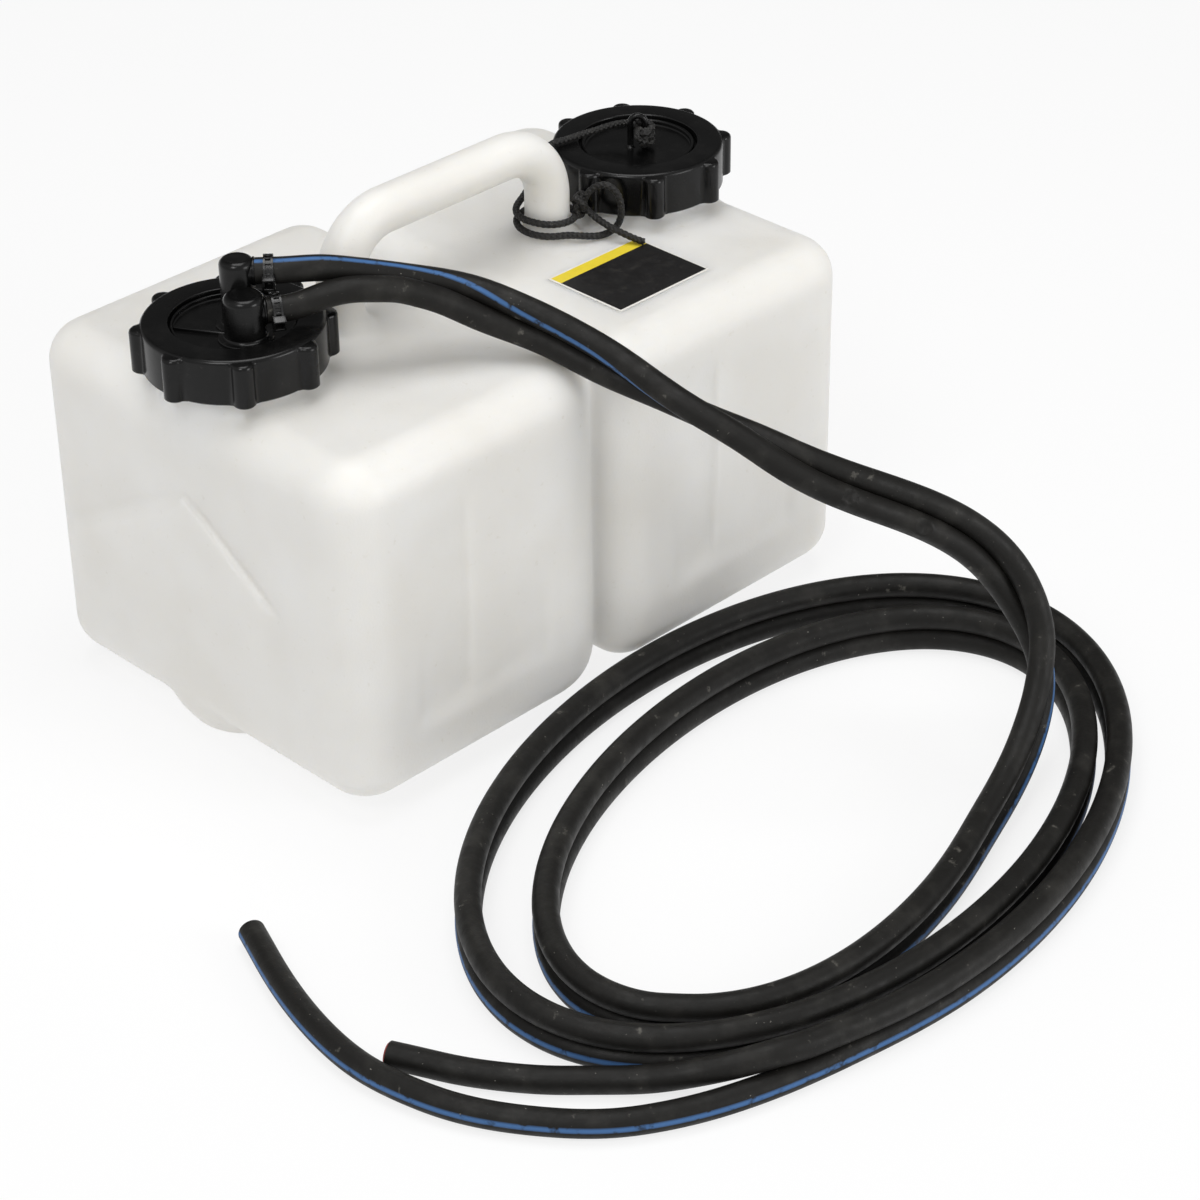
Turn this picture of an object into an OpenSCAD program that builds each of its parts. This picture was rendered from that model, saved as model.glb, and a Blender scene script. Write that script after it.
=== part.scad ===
// Remote oil tank for an outboard engine: a moulded tank with two screw collars, a carrying handle,
// a bonded pair of hoses with their coil, and a tether that keeps the filler plate with the tank.
// Millimetres, +Z up. The origin is on the floor under the middle of the tank. +X runs along the
// tank from the hose cap to the filler cap, and +Y points away from the hose coil.

/* [Tank] */
// Length of the tank
tank_length = 360; // [345:5:420]
// Width of the tank
tank_width = 243; // [225:1:275]
// Height of the tank from its underside to its top
tank_height = 193; // [170:1:230]
// Wall of the moulding
wall = 3; // [2:0.5:4]
// Outer corners of the tank, seen from above
corner_r = 25; // [22:1:32]
// Top and bottom edges of the tank
edge_r = 21; // [12:1:21]
// Middle of the waist between the two lobes
waist_x = 5; // [-5:1:12]
// How far the two lobes run into each other at the waist
lobe_overlap = 6; // [4:1:8]
// Front lobe's waist corner on the hose side
front_waist_near_r = 45; // [22:1:55]
// Front lobe's waist corner on the far side
front_waist_far_r = 22; // [22:1:55]
// Rear lobe's waist corner on the hose side
rear_waist_near_r = 22; // [22:1:55]
// Rear lobe's waist corner on the far side
rear_waist_far_r = 60; // [22:1:65]

/* [Feet] */
// Height of the keel and the pads
foot_height = 9; // [6:1:14]
// Width of the keel on the floor
keel_width = 34; // [24:1:50]
// How far each side of the keel spreads on its way up to the tank
keel_flare = 17; // [6:1:20]
// Keel's end, inside the tank's end
keel_inset = 12; // [12:1:30]
// Radius of a corner pad
pad_r = 15; // [10:1:18]
// Middle of a corner pad, inside the tank's side and end
pad_inset = 41; // [40:1:55]

/* [Necks] */
// Middle of a neck, inside the tank's end
neck_inset = 38; // [38:1:50]
// Outer radius of a neck
neck_r = 39.5; // [37:0.5:42]
// Wall of a neck
neck_wall = 6.5; // [4:0.5:8]
// Height of a neck's rim above the tank's top
neck_rise = 20; // [18:1:30]
// Depth below the top at which the neck fades into the end wall
neck_fade = 47; // [30:1:60]

/* [Handle] */
// Gap between a leg of the handle and the lugs of the collar beside it
leg_clear = 6.3; // [4:0.1:14]
// Outer radius of the handle's tube
handle_r = 12; // [10:0.5:13]
// Wall of the handle's tube
handle_wall = 3; // [2:0.5:4]
// Middle of the grip above the tank's top
handle_rise = 55; // [48:1:75]
// Bend between a leg and the grip
handle_bend_r = 31; // [24:1:40]

/* [Collars] */
// Height of a collar
collar_height = 24; // [18:1:26]
// Wall of a collar
collar_wall = 5.8; // [4:0.1:7]
// Running clearance between a collar and its neck
collar_clear = 0.7; // [0.4:0.1:1]
// Thickness of a collar's lip
collar_lip = 4; // [3:0.5:6]
// Mouth of a collar
collar_mouth_r = 32; // [28:0.5:33]
// Chamfer on a collar's top edge
collar_chamfer = 2; // [1:0.5:3]
// Lugs round a collar
lug_count = 8; // [6:1:10]
// Radius of a lug
lug_r = 5.1; // [4:0.05:6]
// How far a lug stands out of its collar
lug_reach = 4.7; // [3:0.1:4.8]
// Lug's top below the collar's chamfer, and its foot above the collar's lower edge
lug_drop = 0.5; // [0.3:0.1:2]
// Turn of the first lug
lug_phase = 10; // [0:1:44]

/* [Cap plates] */
// Thickness of a plate
plate_t = 5.5; // [4:0.5:7]
// Clearance between a plate's rim and its collar
plate_clear = 2.2; // [1:0.1:3]
// Gap between a plate and its collar's lip
lip_gap = 0.3; // [0.2:0.1:0.6]
// Thickness of a gasket
gasket_t = 2; // [1.5:0.5:3]
// Width of a gasket
gasket_width = 4.5; // [3:0.5:6]
// Gap between a gasket and its neck's rim
seat_gap = 0.2; // [0.2:0.1:0.4]
// Middle of the filler plate's bead
bead_r = 29.5; // [24:0.5:30]
// Radius of the bead's round section
bead_section_r = 1; // [0.6:0.1:1.4]
// Radius of the tether eye's bar
eye_bar_r = 1.7; // [1.4:0.1:2.2]
// Clear width of the tether eye
eye_gap = 4.5; // [4.3:0.1:6]
// Height of the tether eye above the plate
eye_height = 16; // [12:1:20]

/* [Hose fittings] */
// Radius of the pressure tower
pressure_tower_r = 8.7; // [7:0.1:9]
// Height of the pressure barb above the plate
pressure_barb_rise = 28.3; // [26:0.1:34]
// Heading of the pressure barb
pressure_heading = -42; // [-46:1:-36]
// Radius of the oil tower
oil_tower_r = 8.9; // [7:0.1:9]
// Height of the oil barb above the plate
oil_barb_rise = 13.3; // [12:0.1:16]
// Heading of the oil barb
oil_heading = -30; // [-34:1:-26]
// Pressure tower's top above its barb's middle
pressure_tower_cap = 7.5; // [7:0.5:10]
// Oil tower's top above its barb's middle
oil_tower_cap = 9; // [7:0.5:10]
// Length of a barb from its tower's middle
barb_length = 24; // [20:1:28]
// Radius of a barb's nipple
nipple_r = 3.4; // [3:0.1:3.6]
// Radius of the rings on a barb
barb_ring_r = 3.9; // [3.7:0.1:4.2]
// Bore of a barb
barb_bore_r = 2; // [1.5:0.1:2.4]
// Middle of a hose tie from its tower's middle
tie_place = 15.5; // [14:0.5:18]
// Width of a hose tie
tie_width = 4.8; // [3.6:0.1:6]
// Thickness of a hose tie's strap
tie_t = 1.2; // [1:0.1:1.6]
// Length of a hose tie's head along the hose
tie_head_length = 7; // [5:0.5:8]
// Turn of a hose tie's head round the hose, from straight down
tie_head_turn = 78; // [70:1:110]

/* [Pickup] */
// Outer radius of the pickup tube
tube_r = 5; // [4.5:0.1:5.5]
// Bore of the pickup tube
tube_bore_r = 3.5; // [3:0.1:3.8]
// Depth of the tube's socket below the plate
socket_depth = 19; // [12:1:26]
// Wall of the tube's socket
socket_wall = 2; // [1.5:0.1:3]
// Clearance of the tube in its sockets
socket_clear = 0.05; // [0.02:0.01:0.1]
// Radius of the strainer
strainer_r = 9; // [8:0.5:11]
// Height of the strainer
strainer_height = 22; // [18:1:30]
// Strainer's underside above the tank's inner floor
strainer_clear = 4; // [3:0.5:10]
// Thickness of the strainer's two ends
strainer_end_t = 4; // [3:0.5:5]
// Thickness of the strainer's screen
screen_t = 0.8; // [0.6:0.1:1]

/* [Hoses] */
// Outer diameter of a hose
hose_od = 13; // [12:0.1:13.2]
// Bore of a hose
hose_bore = 6.4; // [5.6:0.1:6.8]
// Distance between the middles of the bonded pair
hose_pitch = 13.4; // [13.4:0.1:14]
// Length of a hose's open end that a fitting can enter
hose_end_bore = 20; // [15:1:24]
// Loops of the coil
coil_turns = 2; // [2:1:2]
// Half length of the coil at its middle
coil_rx = 165; // [160:1:170]
// Half width of the coil at its middle
coil_ry = 83; // [80:1:86]
// Growth of the coil's half length in each loop
coil_step_x = 27; // [26:0.5:30]
// Growth of the coil's half width in each loop
coil_step_y = 29; // [28:0.5:30]
// Turn of the coil on the floor
coil_turn = 10; // [8:0.5:12]

/* [Tether] */
// Diameter of the tether
tether_d = 3.9; // [3:0.1:4.2]
// Turns of the tether round the handle's leg
wrap_turns = 1.12; // [1.1:0.01:1.14]
// Drop of the wrap in each turn
wrap_pitch = 8.4; // [6:0.1:9]
// Growth of the wrap's radius in each turn, where it hangs slack
wrap_slack = 2.5; // [0:0.1:3]
// Height of the wrap's last turn above the tank's top
wrap_rise = 6.6; // [5:0.1:8]
// Radius of a knot
knot_r = 5; // [4:0.1:5.4]
// Small gap that keeps a soft piece off what it lies on
rest_gap = 0.3; // [0.2:0.05:0.5]

/* [Decal] */
// Length of the decal
decal_length = 66; // [50:1:80]
// Width of the decal
decal_width = 53; // [40:1:60]
// Middle of the decal from the filler neck's middle, along the tank
decal_back = 73; // [65:1:85]
// Middle of the decal inside the tank's side
decal_inset = 57.5; // [45:0.5:70]
// Thickness of the decal
decal_t = 0.3; // [0.2:0.05:0.5]

/* [Hidden] */
$fn = 96;

natural_white = [0.93, 0.93, 0.9];
cap_black = [0.09, 0.09, 0.09];
rubber_black = [0.14, 0.14, 0.14];
stripe_blue = [0.16, 0.3, 0.5];
cord_black = [0.06, 0.06, 0.06];
steel_grey = [0.6, 0.6, 0.6];
decal_yellow = [0.95, 0.85, 0.1];

// Overlap that lets one solid run into another, or a cut run past a face
over = 1;
// Facets of a rounded corner that is hulled
hull_fn = 32;
// Steps of a quarter round in a hulled corner
edge_steps = 5;
// Facets of a lug and of a knot
lug_fn = 48;
knot_fn = 32;
// Sides of a swept hose, of its coil, of the tether and of the tether's wrap
hose_sides = 10;
coil_sides = 6;
cord_sides = 8;
wrap_sides = 6;
// Share of a loop over which a coil's direction is taken
direction_step = 0.005;
// How far the keel runs up into the tank's floor
keel_sink = 0.8 * wall;
// Straight length of a hose where it leaves the coil
tail_straight = 10;

tank_top = foot_height + tank_height;
half_length = tank_length / 2;
half_width = tank_width / 2;
front_end = waist_x + lobe_overlap / 2;
rear_start = waist_x - lobe_overlap / 2;
neck_x = half_length - neck_inset;
neck_bore_r = neck_r - neck_wall;
rim_z = tank_top + neck_rise;

gasket_z = rim_z + seat_gap;
plate_z = gasket_z + gasket_t;
plate_top = plate_z + plate_t;
lip_z = plate_top + lip_gap;
collar_top = lip_z + collar_lip;
collar_z = collar_top - collar_height;
collar_bore_r = neck_r + collar_clear;
collar_r = collar_bore_r + collar_wall;
lug_at = max(collar_r + lug_reach - lug_r, collar_bore_r + rest_gap + lug_r);
lug_height = collar_height - collar_chamfer - 2 * lug_drop;
plate_r = collar_bore_r - plate_clear;

// Towers on the pickup plate
pressure_tower_offset = [3.8, -0.8];
oil_tower_offset = [-4, -14];
pickup_middle = [-neck_x, 0];
pressure_tower = pickup_middle + pressure_tower_offset;
oil_tower = pickup_middle + oil_tower_offset;
pressure_axis_z = plate_top + pressure_barb_rise;
oil_axis_z = plate_top + oil_barb_rise;
tower_round = 4;
barb_rings = [12, 17, 22];
barb_ring_length = 3;

hose_r = hose_od / 2;
hose_bore_r = hose_bore / 2;
tether_r = tether_d / 2;

tube_z = foot_height + wall + strainer_clear + strainer_height - strainer_end_t;
socket_z = plate_z - socket_depth;

leg_x = neck_x - lug_at - lug_r - leg_clear - handle_r;

// Vector tools
up = [0, 0, 1];
function unit(v) = v / norm(v);
function square_to(v, t) = unit(v - (v * t) * t);
function flat_dir(heading) = [cos(heading), sin(heading), 0];
function tangents(p) = [for (i = [0 : len(p) - 1]) unit(p[min(i + 1, len(p) - 1)] - p[max(i - 1, 0)])];

// Directions square to a route, carried along it without twist
function carried(t) = [for (i = 0, n = square_to(abs(t[0].z) < 0.9 ? up : [1, 0, 0], t[0]);
    i < len(t);
    i = i + 1, n = i < len(t) ? square_to(n, t[i]) : n) n];

// Least clear gap of a round tube to its own later turns, on points half a turn or more apart
function least_gap(p, r, apart) = min([for (i = [0 : len(p) - apart - 1], j = [i + apart : len(p) - 1])
    norm(p[j] - p[i])]) - 2 * r;

// Hoses hang from the hose cap to the floor, so a point goes with the cap by its share of the height
cap_home = [-142, 0, 229.7];
cap_shift = [-neck_x, 0, plate_top] - cap_home;
function hung(p) = p + p.z / twin_start[0].z * cap_shift;

// Bonded pair of hoses: middle of the pair, then the pair's roll. Zero roll has the oil hose on top.
twin_start = [[-77, -48, 246, -262], [-56.5, -61.5, 237.5, -245], [-39.5, -79, 227.5, -205],
    [-26, -100.5, 218.5, -185], [-16, -126, 209, -180], [-7.5, -152.5, 200, -150],
    [0.5, -178.5, 191.5, -125], [11.5, -201.5, 182, -103], [23, -224, 171, -75],
    [40, -243, 159, -52], [61, -258, 146, -40], [83, -272, 130, -30], [102, -287, 108, -14],
    [110, -302, 83, 2], [108, -314, 62, 8], [99, -322, 46, 8], [86, -328, 34, 8], [60, -337, 21.5, 6],
    [25, -348, 15, 3], [-16, -362, 13.2, 0], [-60, -371.5, 13.2, 0]];

// Each hose's own way from its barb to the bonded pair
pressure_lead = [[-105.3, -25, 256.3], [-94.4, -30.6, 253.4]];
oil_lead = [[-111, -34, 246.7], [-101.4, -41.6, 248.8], [-91.3, -48.3, 247.8]];

// Each hose's own way from the coil to its open end
pressure_ends = [[-177, -396.5, 6.5], [-200, -392.5, 6.5], [-221, -385, 6.5], [-240, -374, 6.5],
    [-257, -359, 6.5], [-271, -342, 6.5], [-283, -324, 6.5], [-293, -303, 6.5], [-299, -281, 6.5],
    [-302, -259, 6.5], [-301, -237, 6.5], [-297, -215, 6.5], [-291, -193, 6.5], [-284, -173, 6.5],
    [-276, -153, 6.5], [-272.4, -144, 6.5]];
oil_ends = [[-174, -395.5, 19.9], [-190, -386, 17.5], [-206, -372.5, 13.5], [-221, -356, 9],
    [-235, -339, 6.7], [-250, -323, 6.5], [-263, -306, 6.5], [-274, -288, 6.5], [-282, -271, 6.5],
    [-288, -258.25, 6.5]];

// Coil on the floor, measured in loops from its middle and wound clockwise from above
coil_first = 0.35;
coil_last = coil_first + coil_turns;
coil_middle = [-22, -288];
coil_drift = [-2.7, 11];
coil_rings = 24;
function coil_oval(u) = [(coil_rx + coil_step_x * u) * cos(360 * u),
    -(coil_ry + coil_step_y * u) * sin(360 * u)];
function coil_xy(u) = let (q = coil_oval(u), m = coil_middle + u * coil_drift)
    [m.x + q.x * cos(coil_turn) - q.y * sin(coil_turn), m.y + q.x * sin(coil_turn) + q.y * cos(coil_turn)];
function coil_at(u, z) = concat(coil_xy(u), z);
function coil_dir(u) = unit(coil_at(u + direction_step, 0) - coil_at(u - direction_step, 0));
function coil_entry(z) = coil_at(coil_first, z) - hose_od * coil_dir(coil_first);
function coil_exit(z) = coil_at(coil_last, z) + hose_od * coil_dir(coil_last);
function coil_path(z) = concat([coil_entry(z)],
    [for (i = [0 : coil_turns * coil_rings]) coil_at(coil_first + i / coil_rings, z)],
    [coil_exit(z)]);

// Height of each hose in the coil
pressure_z = hose_r;
oil_z = hose_r + hose_pitch;

twin_z = (pressure_z + oil_z) / 2;
twin_end = coil_entry(twin_z) - rest_gap * coil_dir(coil_first);
twin_last = len(twin_start) - 1;
function twin_point(i) = twin_start[max(0, min(twin_last, i))];
function twin_between(i, f) =
    let (a = twin_point(i - 1), b = twin_point(i), c = twin_point(i + 1), d = twin_point(i + 2))
        b + f / 2 * (c - a + f * (2 * a - 5 * b + 4 * c - d + f * (3 * (b - c) + d - a)));
twin_smooth = concat([for (i = [0 : twin_last - 1], f = [0, 0.5]) twin_between(i, f)],
    [twin_start[twin_last]]);
twin_route = concat([for (p = twin_smooth) hung([p.x, p.y, p.z])],
    [twin_end - hose_od * coil_dir(coil_first), twin_end]);
twin_roll = concat([for (p = twin_smooth) p[3]], [0, 0]);
function pair_dir(t, roll) = let (high = square_to(up, t)) cos(roll) * high + sin(roll) * cross(t, high);
twin_dirs = [for (i = [0 : len(twin_route) - 1]) pair_dir(tangents(twin_route)[i], twin_roll[i])];
function twin_side(side) = [for (i = [0 : len(twin_route) - 1])
    twin_route[i] + side * hose_pitch / 2 * twin_dirs[i]];

// Start of a hose on its barb: its end face just clears the tower
function barb_at(tower, z, heading, s) = [tower.x, tower.y, z] + s * flat_dir(heading);
function barb_start(tower, z, heading, r) = [barb_at(tower, z, heading, r + rest_gap),
    barb_at(tower, z, heading, barb_length)];
pressure_path = concat(barb_start(pressure_tower, pressure_axis_z, pressure_heading, pressure_tower_r),
    [for (p = pressure_lead) hung(p)], twin_side(-1));
oil_path = concat(barb_start(oil_tower, oil_axis_z, oil_heading, oil_tower_r),
    [for (p = oil_lead) hung(p)], twin_side(1));
function tail_path(z, ends) = concat([coil_exit(z), coil_exit(z) + tail_straight * coil_dir(coil_last)], ends);

// Tether: from the eye over the collar to the handle's leg, then wound round the leg and tied in a bow
eye_z = plate_top + eye_height - 2 * eye_bar_r - eye_gap / 2;
eye_leg = eye_gap / 2 + eye_bar_r;
eye_heading = -45;
wrap_r = handle_r + rest_gap + tether_r;
wrap_start = 200;
wrap_rings = 24;
wrap_steps = round(wrap_turns * wrap_rings);
wrap_high = tank_top + wrap_rise + wrap_turns * wrap_pitch;
function wrap_at(u) = [leg_x, 0, wrap_high - wrap_pitch * u]
    + (wrap_r + wrap_slack * u) * flat_dir(wrap_start + 360 * u);
function wrap_dir(u) = unit(wrap_at(u + direction_step) - wrap_at(u - direction_step));
wrap_entry = wrap_at(0) - tether_d * wrap_dir(0);
wrap_exit = wrap_at(wrap_turns) + tether_d * wrap_dir(wrap_turns);
wrap_path = concat([wrap_entry],
    [for (i = [0 : wrap_steps]) wrap_at(i * wrap_turns / wrap_steps)],
    [wrap_exit]);
leg_knot_turn = 1 / 3;
leg_knot_at = [leg_x, 0, wrap_at(leg_knot_turn).z + tether_r]
    + (handle_r + rest_gap + knot_r) * flat_dir(wrap_start + 360 * leg_knot_turn);
eye_knot_at = [neck_x, 0, eye_z] - (eye_bar_r + rest_gap + knot_r) * flat_dir(eye_heading + 90);
tether_from_eye = [[2, 7, 38.2], [0.5, 11.5, 37.6], [-5, 15.5, 36.6], [-14, 19.5, 35.3], [-24, 22.5, 34.6],
    [-34, 24.4, 34.5]];
tether_to_leg = [[27, 26, 33.6], [19, 24, 29.5], [10, 20.5, 26], [0.5, 18, 23.2], [-8, 14.5, 20.8],
    [-13.5, 8.5, 18.6]];
tether_route = concat([eye_knot_at, [neck_x, 0, eye_z]],
    [for (p = tether_from_eye) p + [neck_x, 0, tank_top]],
    [for (p = tether_to_leg) p + [leg_x, 0, tank_top]],
    [wrap_entry - (tether_d + rest_gap) * wrap_dir(0), wrap_entry - rest_gap * wrap_dir(0)]);
bow_from_leg = [[6, -21.5, 4], [13, -24.5, 2.6], [19, -26, 2.6], [23.2, -27.8, 5], [24.8, -30, 11],
    [24.8, -30.5, 18], [23.8, -28.8, 24.5], [21, -24, 29], [18, -18.5, 27.5], [15.5, -14.5, 22.5],
    [14.5, -13.2, 17], [16.2, -16.5, 12], [17, -23, 9.3], [17.8, -30, 7.6], [20, -37, 5.6],
    [23, -42.5, 3.4], [24.5, -47.5, 2.8]];
bow_route = concat([for (s = [rest_gap, tether_d]) wrap_exit + s * wrap_dir(wrap_turns)],
    [for (p = bow_from_leg) p + [leg_x, 0, tank_top]]);

// Decal lies along the tank's top, between the waist and the filler cap
decal_middle = [neck_x - decal_back, decal_inset - half_width];

echo(pressure_coil_gap = least_gap(coil_path(pressure_z), hose_r, coil_rings / 2));
echo(oil_coil_gap = least_gap(coil_path(oil_z), hose_r, coil_rings / 2));
echo(tether_wrap_gap = least_gap(wrap_path, tether_r, wrap_rings / 2));

// One round tube swept along a route
module swept_tube(path, r, sides) {
    t = tangents(path);
    n = carried(t);
    last = len(path) - 1;
    points = [for (i = [0 : last], k = [0 : sides - 1])
        path[i] + r * (cos(360 * k / sides) * n[i] + sin(360 * k / sides) * cross(t[i], n[i]))];
    skin = [for (i = [0 : last - 1], k = [0 : sides - 1], half = [0, 1])
        let (a = i * sides + k, b = i * sides + (k + 1) % sides)
        half == 0 ? [a, a + sides, b] : [b, a + sides, b + sides]];
    first_cap = [for (k = [1 : sides - 2]) [0, k, k + 1]];
    last_cap = [for (k = [1 : sides - 2]) [last * sides, last * sides + k + 1, last * sides + k]];
    polyhedron(points, concat(skin, first_cap, last_cap));
}

// Upright round post with rounded top and bottom edges, for a tank corner
module corner_post(at, r, z, edge) {
    quarter = [for (i = [0 : edge_steps]) 90 * i / edge_steps];
    low = [for (a = quarter) [r - edge + edge * sin(a), z[0] + edge - edge * cos(a)]];
    high = [for (a = quarter) [r - edge + edge * cos(a), z[1] - edge + edge * sin(a)]];
    translate(at)
        rotate_extrude($fn = hull_fn)
            polygon(concat([[0, z[0]]], low, high, [[0, z[1]]]));
}

// One lobe of the tank. The radii run from the start near corner, start far, end near, end far.
module lobe(start, end, radii, inset) {
    y = half_width - inset;
    z = [foot_height + inset, tank_top - inset];
    r = [for (v = radii) v - inset];
    edge = edge_r - inset;
    hull() {
        corner_post([start + r[0], r[0] - y], r[0], z, edge);
        corner_post([start + r[1], y - r[1]], r[1], z, edge);
        corner_post([end - r[2], r[2] - y], r[2], z, edge);
        corner_post([end - r[3], y - r[3]], r[3], z, edge);
    }
}

module front_lobe(inset) {
    lobe(inset - half_length, front_end - 2 * inset,
        [corner_r, corner_r, front_waist_near_r, front_waist_far_r], inset);
}

module rear_lobe(inset) {
    lobe(rear_start + 2 * inset, half_length - inset,
        [rear_waist_near_r, rear_waist_far_r, corner_r, corner_r], inset);
}

// Window through the web between the two lobes
module waist_window() {
    near = max(front_waist_near_r, rear_waist_near_r) - half_width;
    far = half_width - max(front_waist_far_r, rear_waist_far_r);
    low = foot_height + edge_r;
    depth = lobe_overlap + 4 * wall;
    translate([waist_x - depth / 2, near, low])
        cube([depth, far - near, tank_height - 2 * edge_r]);
}

// Long foot with sloping sides along the middle of the underside
module keel(end_inset, z, height) {
    low = keel_width / 2;
    high = low + keel_flare;
    length = tank_length - 2 * (keel_inset + end_inset);
    translate([length / 2, 0, z])
        rotate([90, 0, -90])
            linear_extrude(length)
                polygon([[-low, 0], [low, 0], [high, foot_height], [high, height], [-high, height],
                    [-high, foot_height]]);
}

module pads() {
    for (x = [-1, 1], y = [-1, 1])
        translate([x * (half_length - pad_inset), y * (half_width - pad_inset), 0])
            cylinder(r = pad_r, h = foot_height + wall / 2);
}

// Outside of one neck, which fades into the end wall
module neck_outside(x) {
    fade_z = tank_top - neck_fade;
    shoulder_z = tank_top - edge_r;
    fade_r = neck_inset - wall / 2;
    translate([x, 0, 0]) {
        translate([0, 0, shoulder_z])
            cylinder(r = neck_r, h = rim_z - shoulder_z);
        translate([0, 0, fade_z])
            cylinder(r1 = fade_r, r2 = neck_r, h = shoulder_z - fade_z);
    }
}

module neck_bore(x) {
    low = tank_top - edge_r - neck_wall;
    translate([x, 0, low])
        cylinder(r = neck_bore_r, h = rim_z - low + over);
}

module leg_hole(x) {
    translate([x, 0, tank_top - wall - over])
        cylinder(r = handle_r - handle_wall, h = wall + 2 * over);
}

module tank_shell() {
    color(natural_white)
        difference() {
            union() {
                front_lobe(0);
                rear_lobe(0);
                keel(0, 0, foot_height + keel_sink);
                pads();
                for (side = [-1, 1])
                    neck_outside(side * neck_x);
            }
            front_lobe(wall);
            rear_lobe(wall);
            waist_window();
            keel(2 * wall, wall, foot_height + over);
            for (side = [-1, 1]) {
                neck_bore(side * neck_x);
                leg_hole(side * leg_x);
            }
        }
}

// Handle's line swept by a round section of the given radius
module handle_form(r, extra) {
    leg_height = handle_rise - handle_bend_r;
    grip = 2 * (leg_x - handle_bend_r);
    translate([0, 0, tank_top]) {
        for (side = [0, 1])
            mirror([side, 0, 0]) {
                translate([leg_x, 0, -extra])
                    cylinder(r = r, h = leg_height + extra);
                translate([leg_x - handle_bend_r, 0, leg_height])
                    rotate([90, 0, 0])
                        rotate_extrude(angle = 90)
                            translate([handle_bend_r, 0])
                                circle(r);
            }
        translate([-grip / 2, 0, handle_rise])
            rotate([0, 90, 0])
                cylinder(r = r, h = grip);
    }
}

module carry_handle() {
    color(natural_white)
        difference() {
            handle_form(handle_r, 0);
            handle_form(handle_r - handle_wall, over);
        }
}

module top_decal() {
    color(decal_yellow)
        translate([decal_middle.x - decal_length / 2, decal_middle.y - decal_width / 2, tank_top])
            cube([decal_length, decal_width, decal_t]);
}

// Screw collar with its finger lugs
module collar(x) {
    translate([x, 0, 0])
        difference() {
            union() {
                rotate_extrude()
                    polygon([[collar_mouth_r, collar_z], [collar_r, collar_z],
                        [collar_r, collar_top - collar_chamfer], [collar_r - collar_chamfer, collar_top],
                        [collar_mouth_r, collar_top]]);
                for (i = [0 : lug_count - 1])
                    rotate(lug_phase + 360 * i / lug_count)
                        translate([lug_at, 0, collar_z + lug_drop])
                            cylinder(r = lug_r, h = lug_height, $fn = lug_fn);
            }
            translate([0, 0, collar_z - over])
                cylinder(r = collar_bore_r, h = lip_z - collar_z + over);
        }
}

module pickup_collar() {
    color(cap_black)
        collar(-neck_x);
}

module filler_collar() {
    color(cap_black)
        collar(neck_x);
}

// Flat sealing ring between a neck's rim and its plate
module gasket(x) {
    translate([x, 0, gasket_z])
        difference() {
            cylinder(r = plate_r, h = gasket_t);
            translate([0, 0, -over])
                cylinder(r = plate_r - gasket_width, h = gasket_t + 2 * over);
        }
}

module pickup_gasket() {
    color(rubber_black)
        gasket(-neck_x);
}

module filler_gasket() {
    color(rubber_black)
        gasket(neck_x);
}

// Round tower with a softened top
module tower(at, r, top) {
    softening = [for (a = [0 : 15 : 90])
        [r, top] + tower_round * [cos(a) - 1, sin(a) - 1]];
    translate(at)
        rotate_extrude()
            polygon(concat([[0, plate_top - over], [r, plate_top - over]], softening, [[0, top]]));
}

// Hose barb along a heading, from the tower's middle
module barb(at, axis_z, heading) {
    steps = [for (i = [0 : len(barb_rings) - 1], k = [0, 1, 2])
        k == 0 ? [nipple_r, barb_rings[i] - barb_ring_length] :
        k == 1 ? [barb_ring_r, barb_rings[i] - barb_ring_length] : [nipple_r, barb_rings[i]]];
    translate([at.x, at.y, axis_z])
        rotate([0, 90, heading])
            rotate_extrude()
                polygon(concat([[0, 0], [nipple_r, 0]], steps,
                    [[nipple_r, barb_length], [0, barb_length]]));
}

// Way through a barb and down its tower
module flow_way(at, axis_z, heading, low, r) {
    translate([at.x, at.y, axis_z])
        rotate([0, 90, heading])
            cylinder(r = barb_bore_r, h = barb_length + over);
    translate([at.x, at.y, low])
        cylinder(r = r, h = axis_z + barb_bore_r - low);
}

module pickup_plate() {
    rib_length = 36;
    rib_t = 2.5;
    rib_height = 1.5;
    rib_heading = 120;
    color(cap_black)
        difference() {
            union() {
                translate([-neck_x, 0, plate_z])
                    cylinder(r = plate_r, h = plate_t);
                tower(pressure_tower, pressure_tower_r, pressure_axis_z + pressure_tower_cap);
                tower(oil_tower, oil_tower_r, oil_axis_z + oil_tower_cap);
                barb(pressure_tower, pressure_axis_z, pressure_heading);
                barb(oil_tower, oil_axis_z, oil_heading);
                translate([oil_tower.x, oil_tower.y, socket_z])
                    cylinder(r = tube_r + socket_clear + socket_wall, h = plate_z - socket_z + over);
                translate([oil_tower.x, oil_tower.y, plate_top - over])
                    rotate(rib_heading)
                        translate([0, -rib_t / 2, 0])
                            cube([rib_length, rib_t, over + rib_height]);
            }
            flow_way(pressure_tower, pressure_axis_z, pressure_heading, plate_z - over, barb_bore_r);
            flow_way(oil_tower, oil_axis_z, oil_heading, plate_z - over, tube_bore_r);
            translate([oil_tower.x, oil_tower.y, socket_z - over])
                cylinder(r = tube_r + socket_clear, h = plate_z - socket_z + over);
        }
}

module pickup_tube() {
    color(natural_white)
        translate([oil_tower.x, oil_tower.y, tube_z])
            difference() {
                cylinder(r = tube_r, h = plate_z - tube_z);
                translate([0, 0, -over])
                    cylinder(r = tube_bore_r, h = plate_z - tube_z + 2 * over);
            }
}

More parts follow.
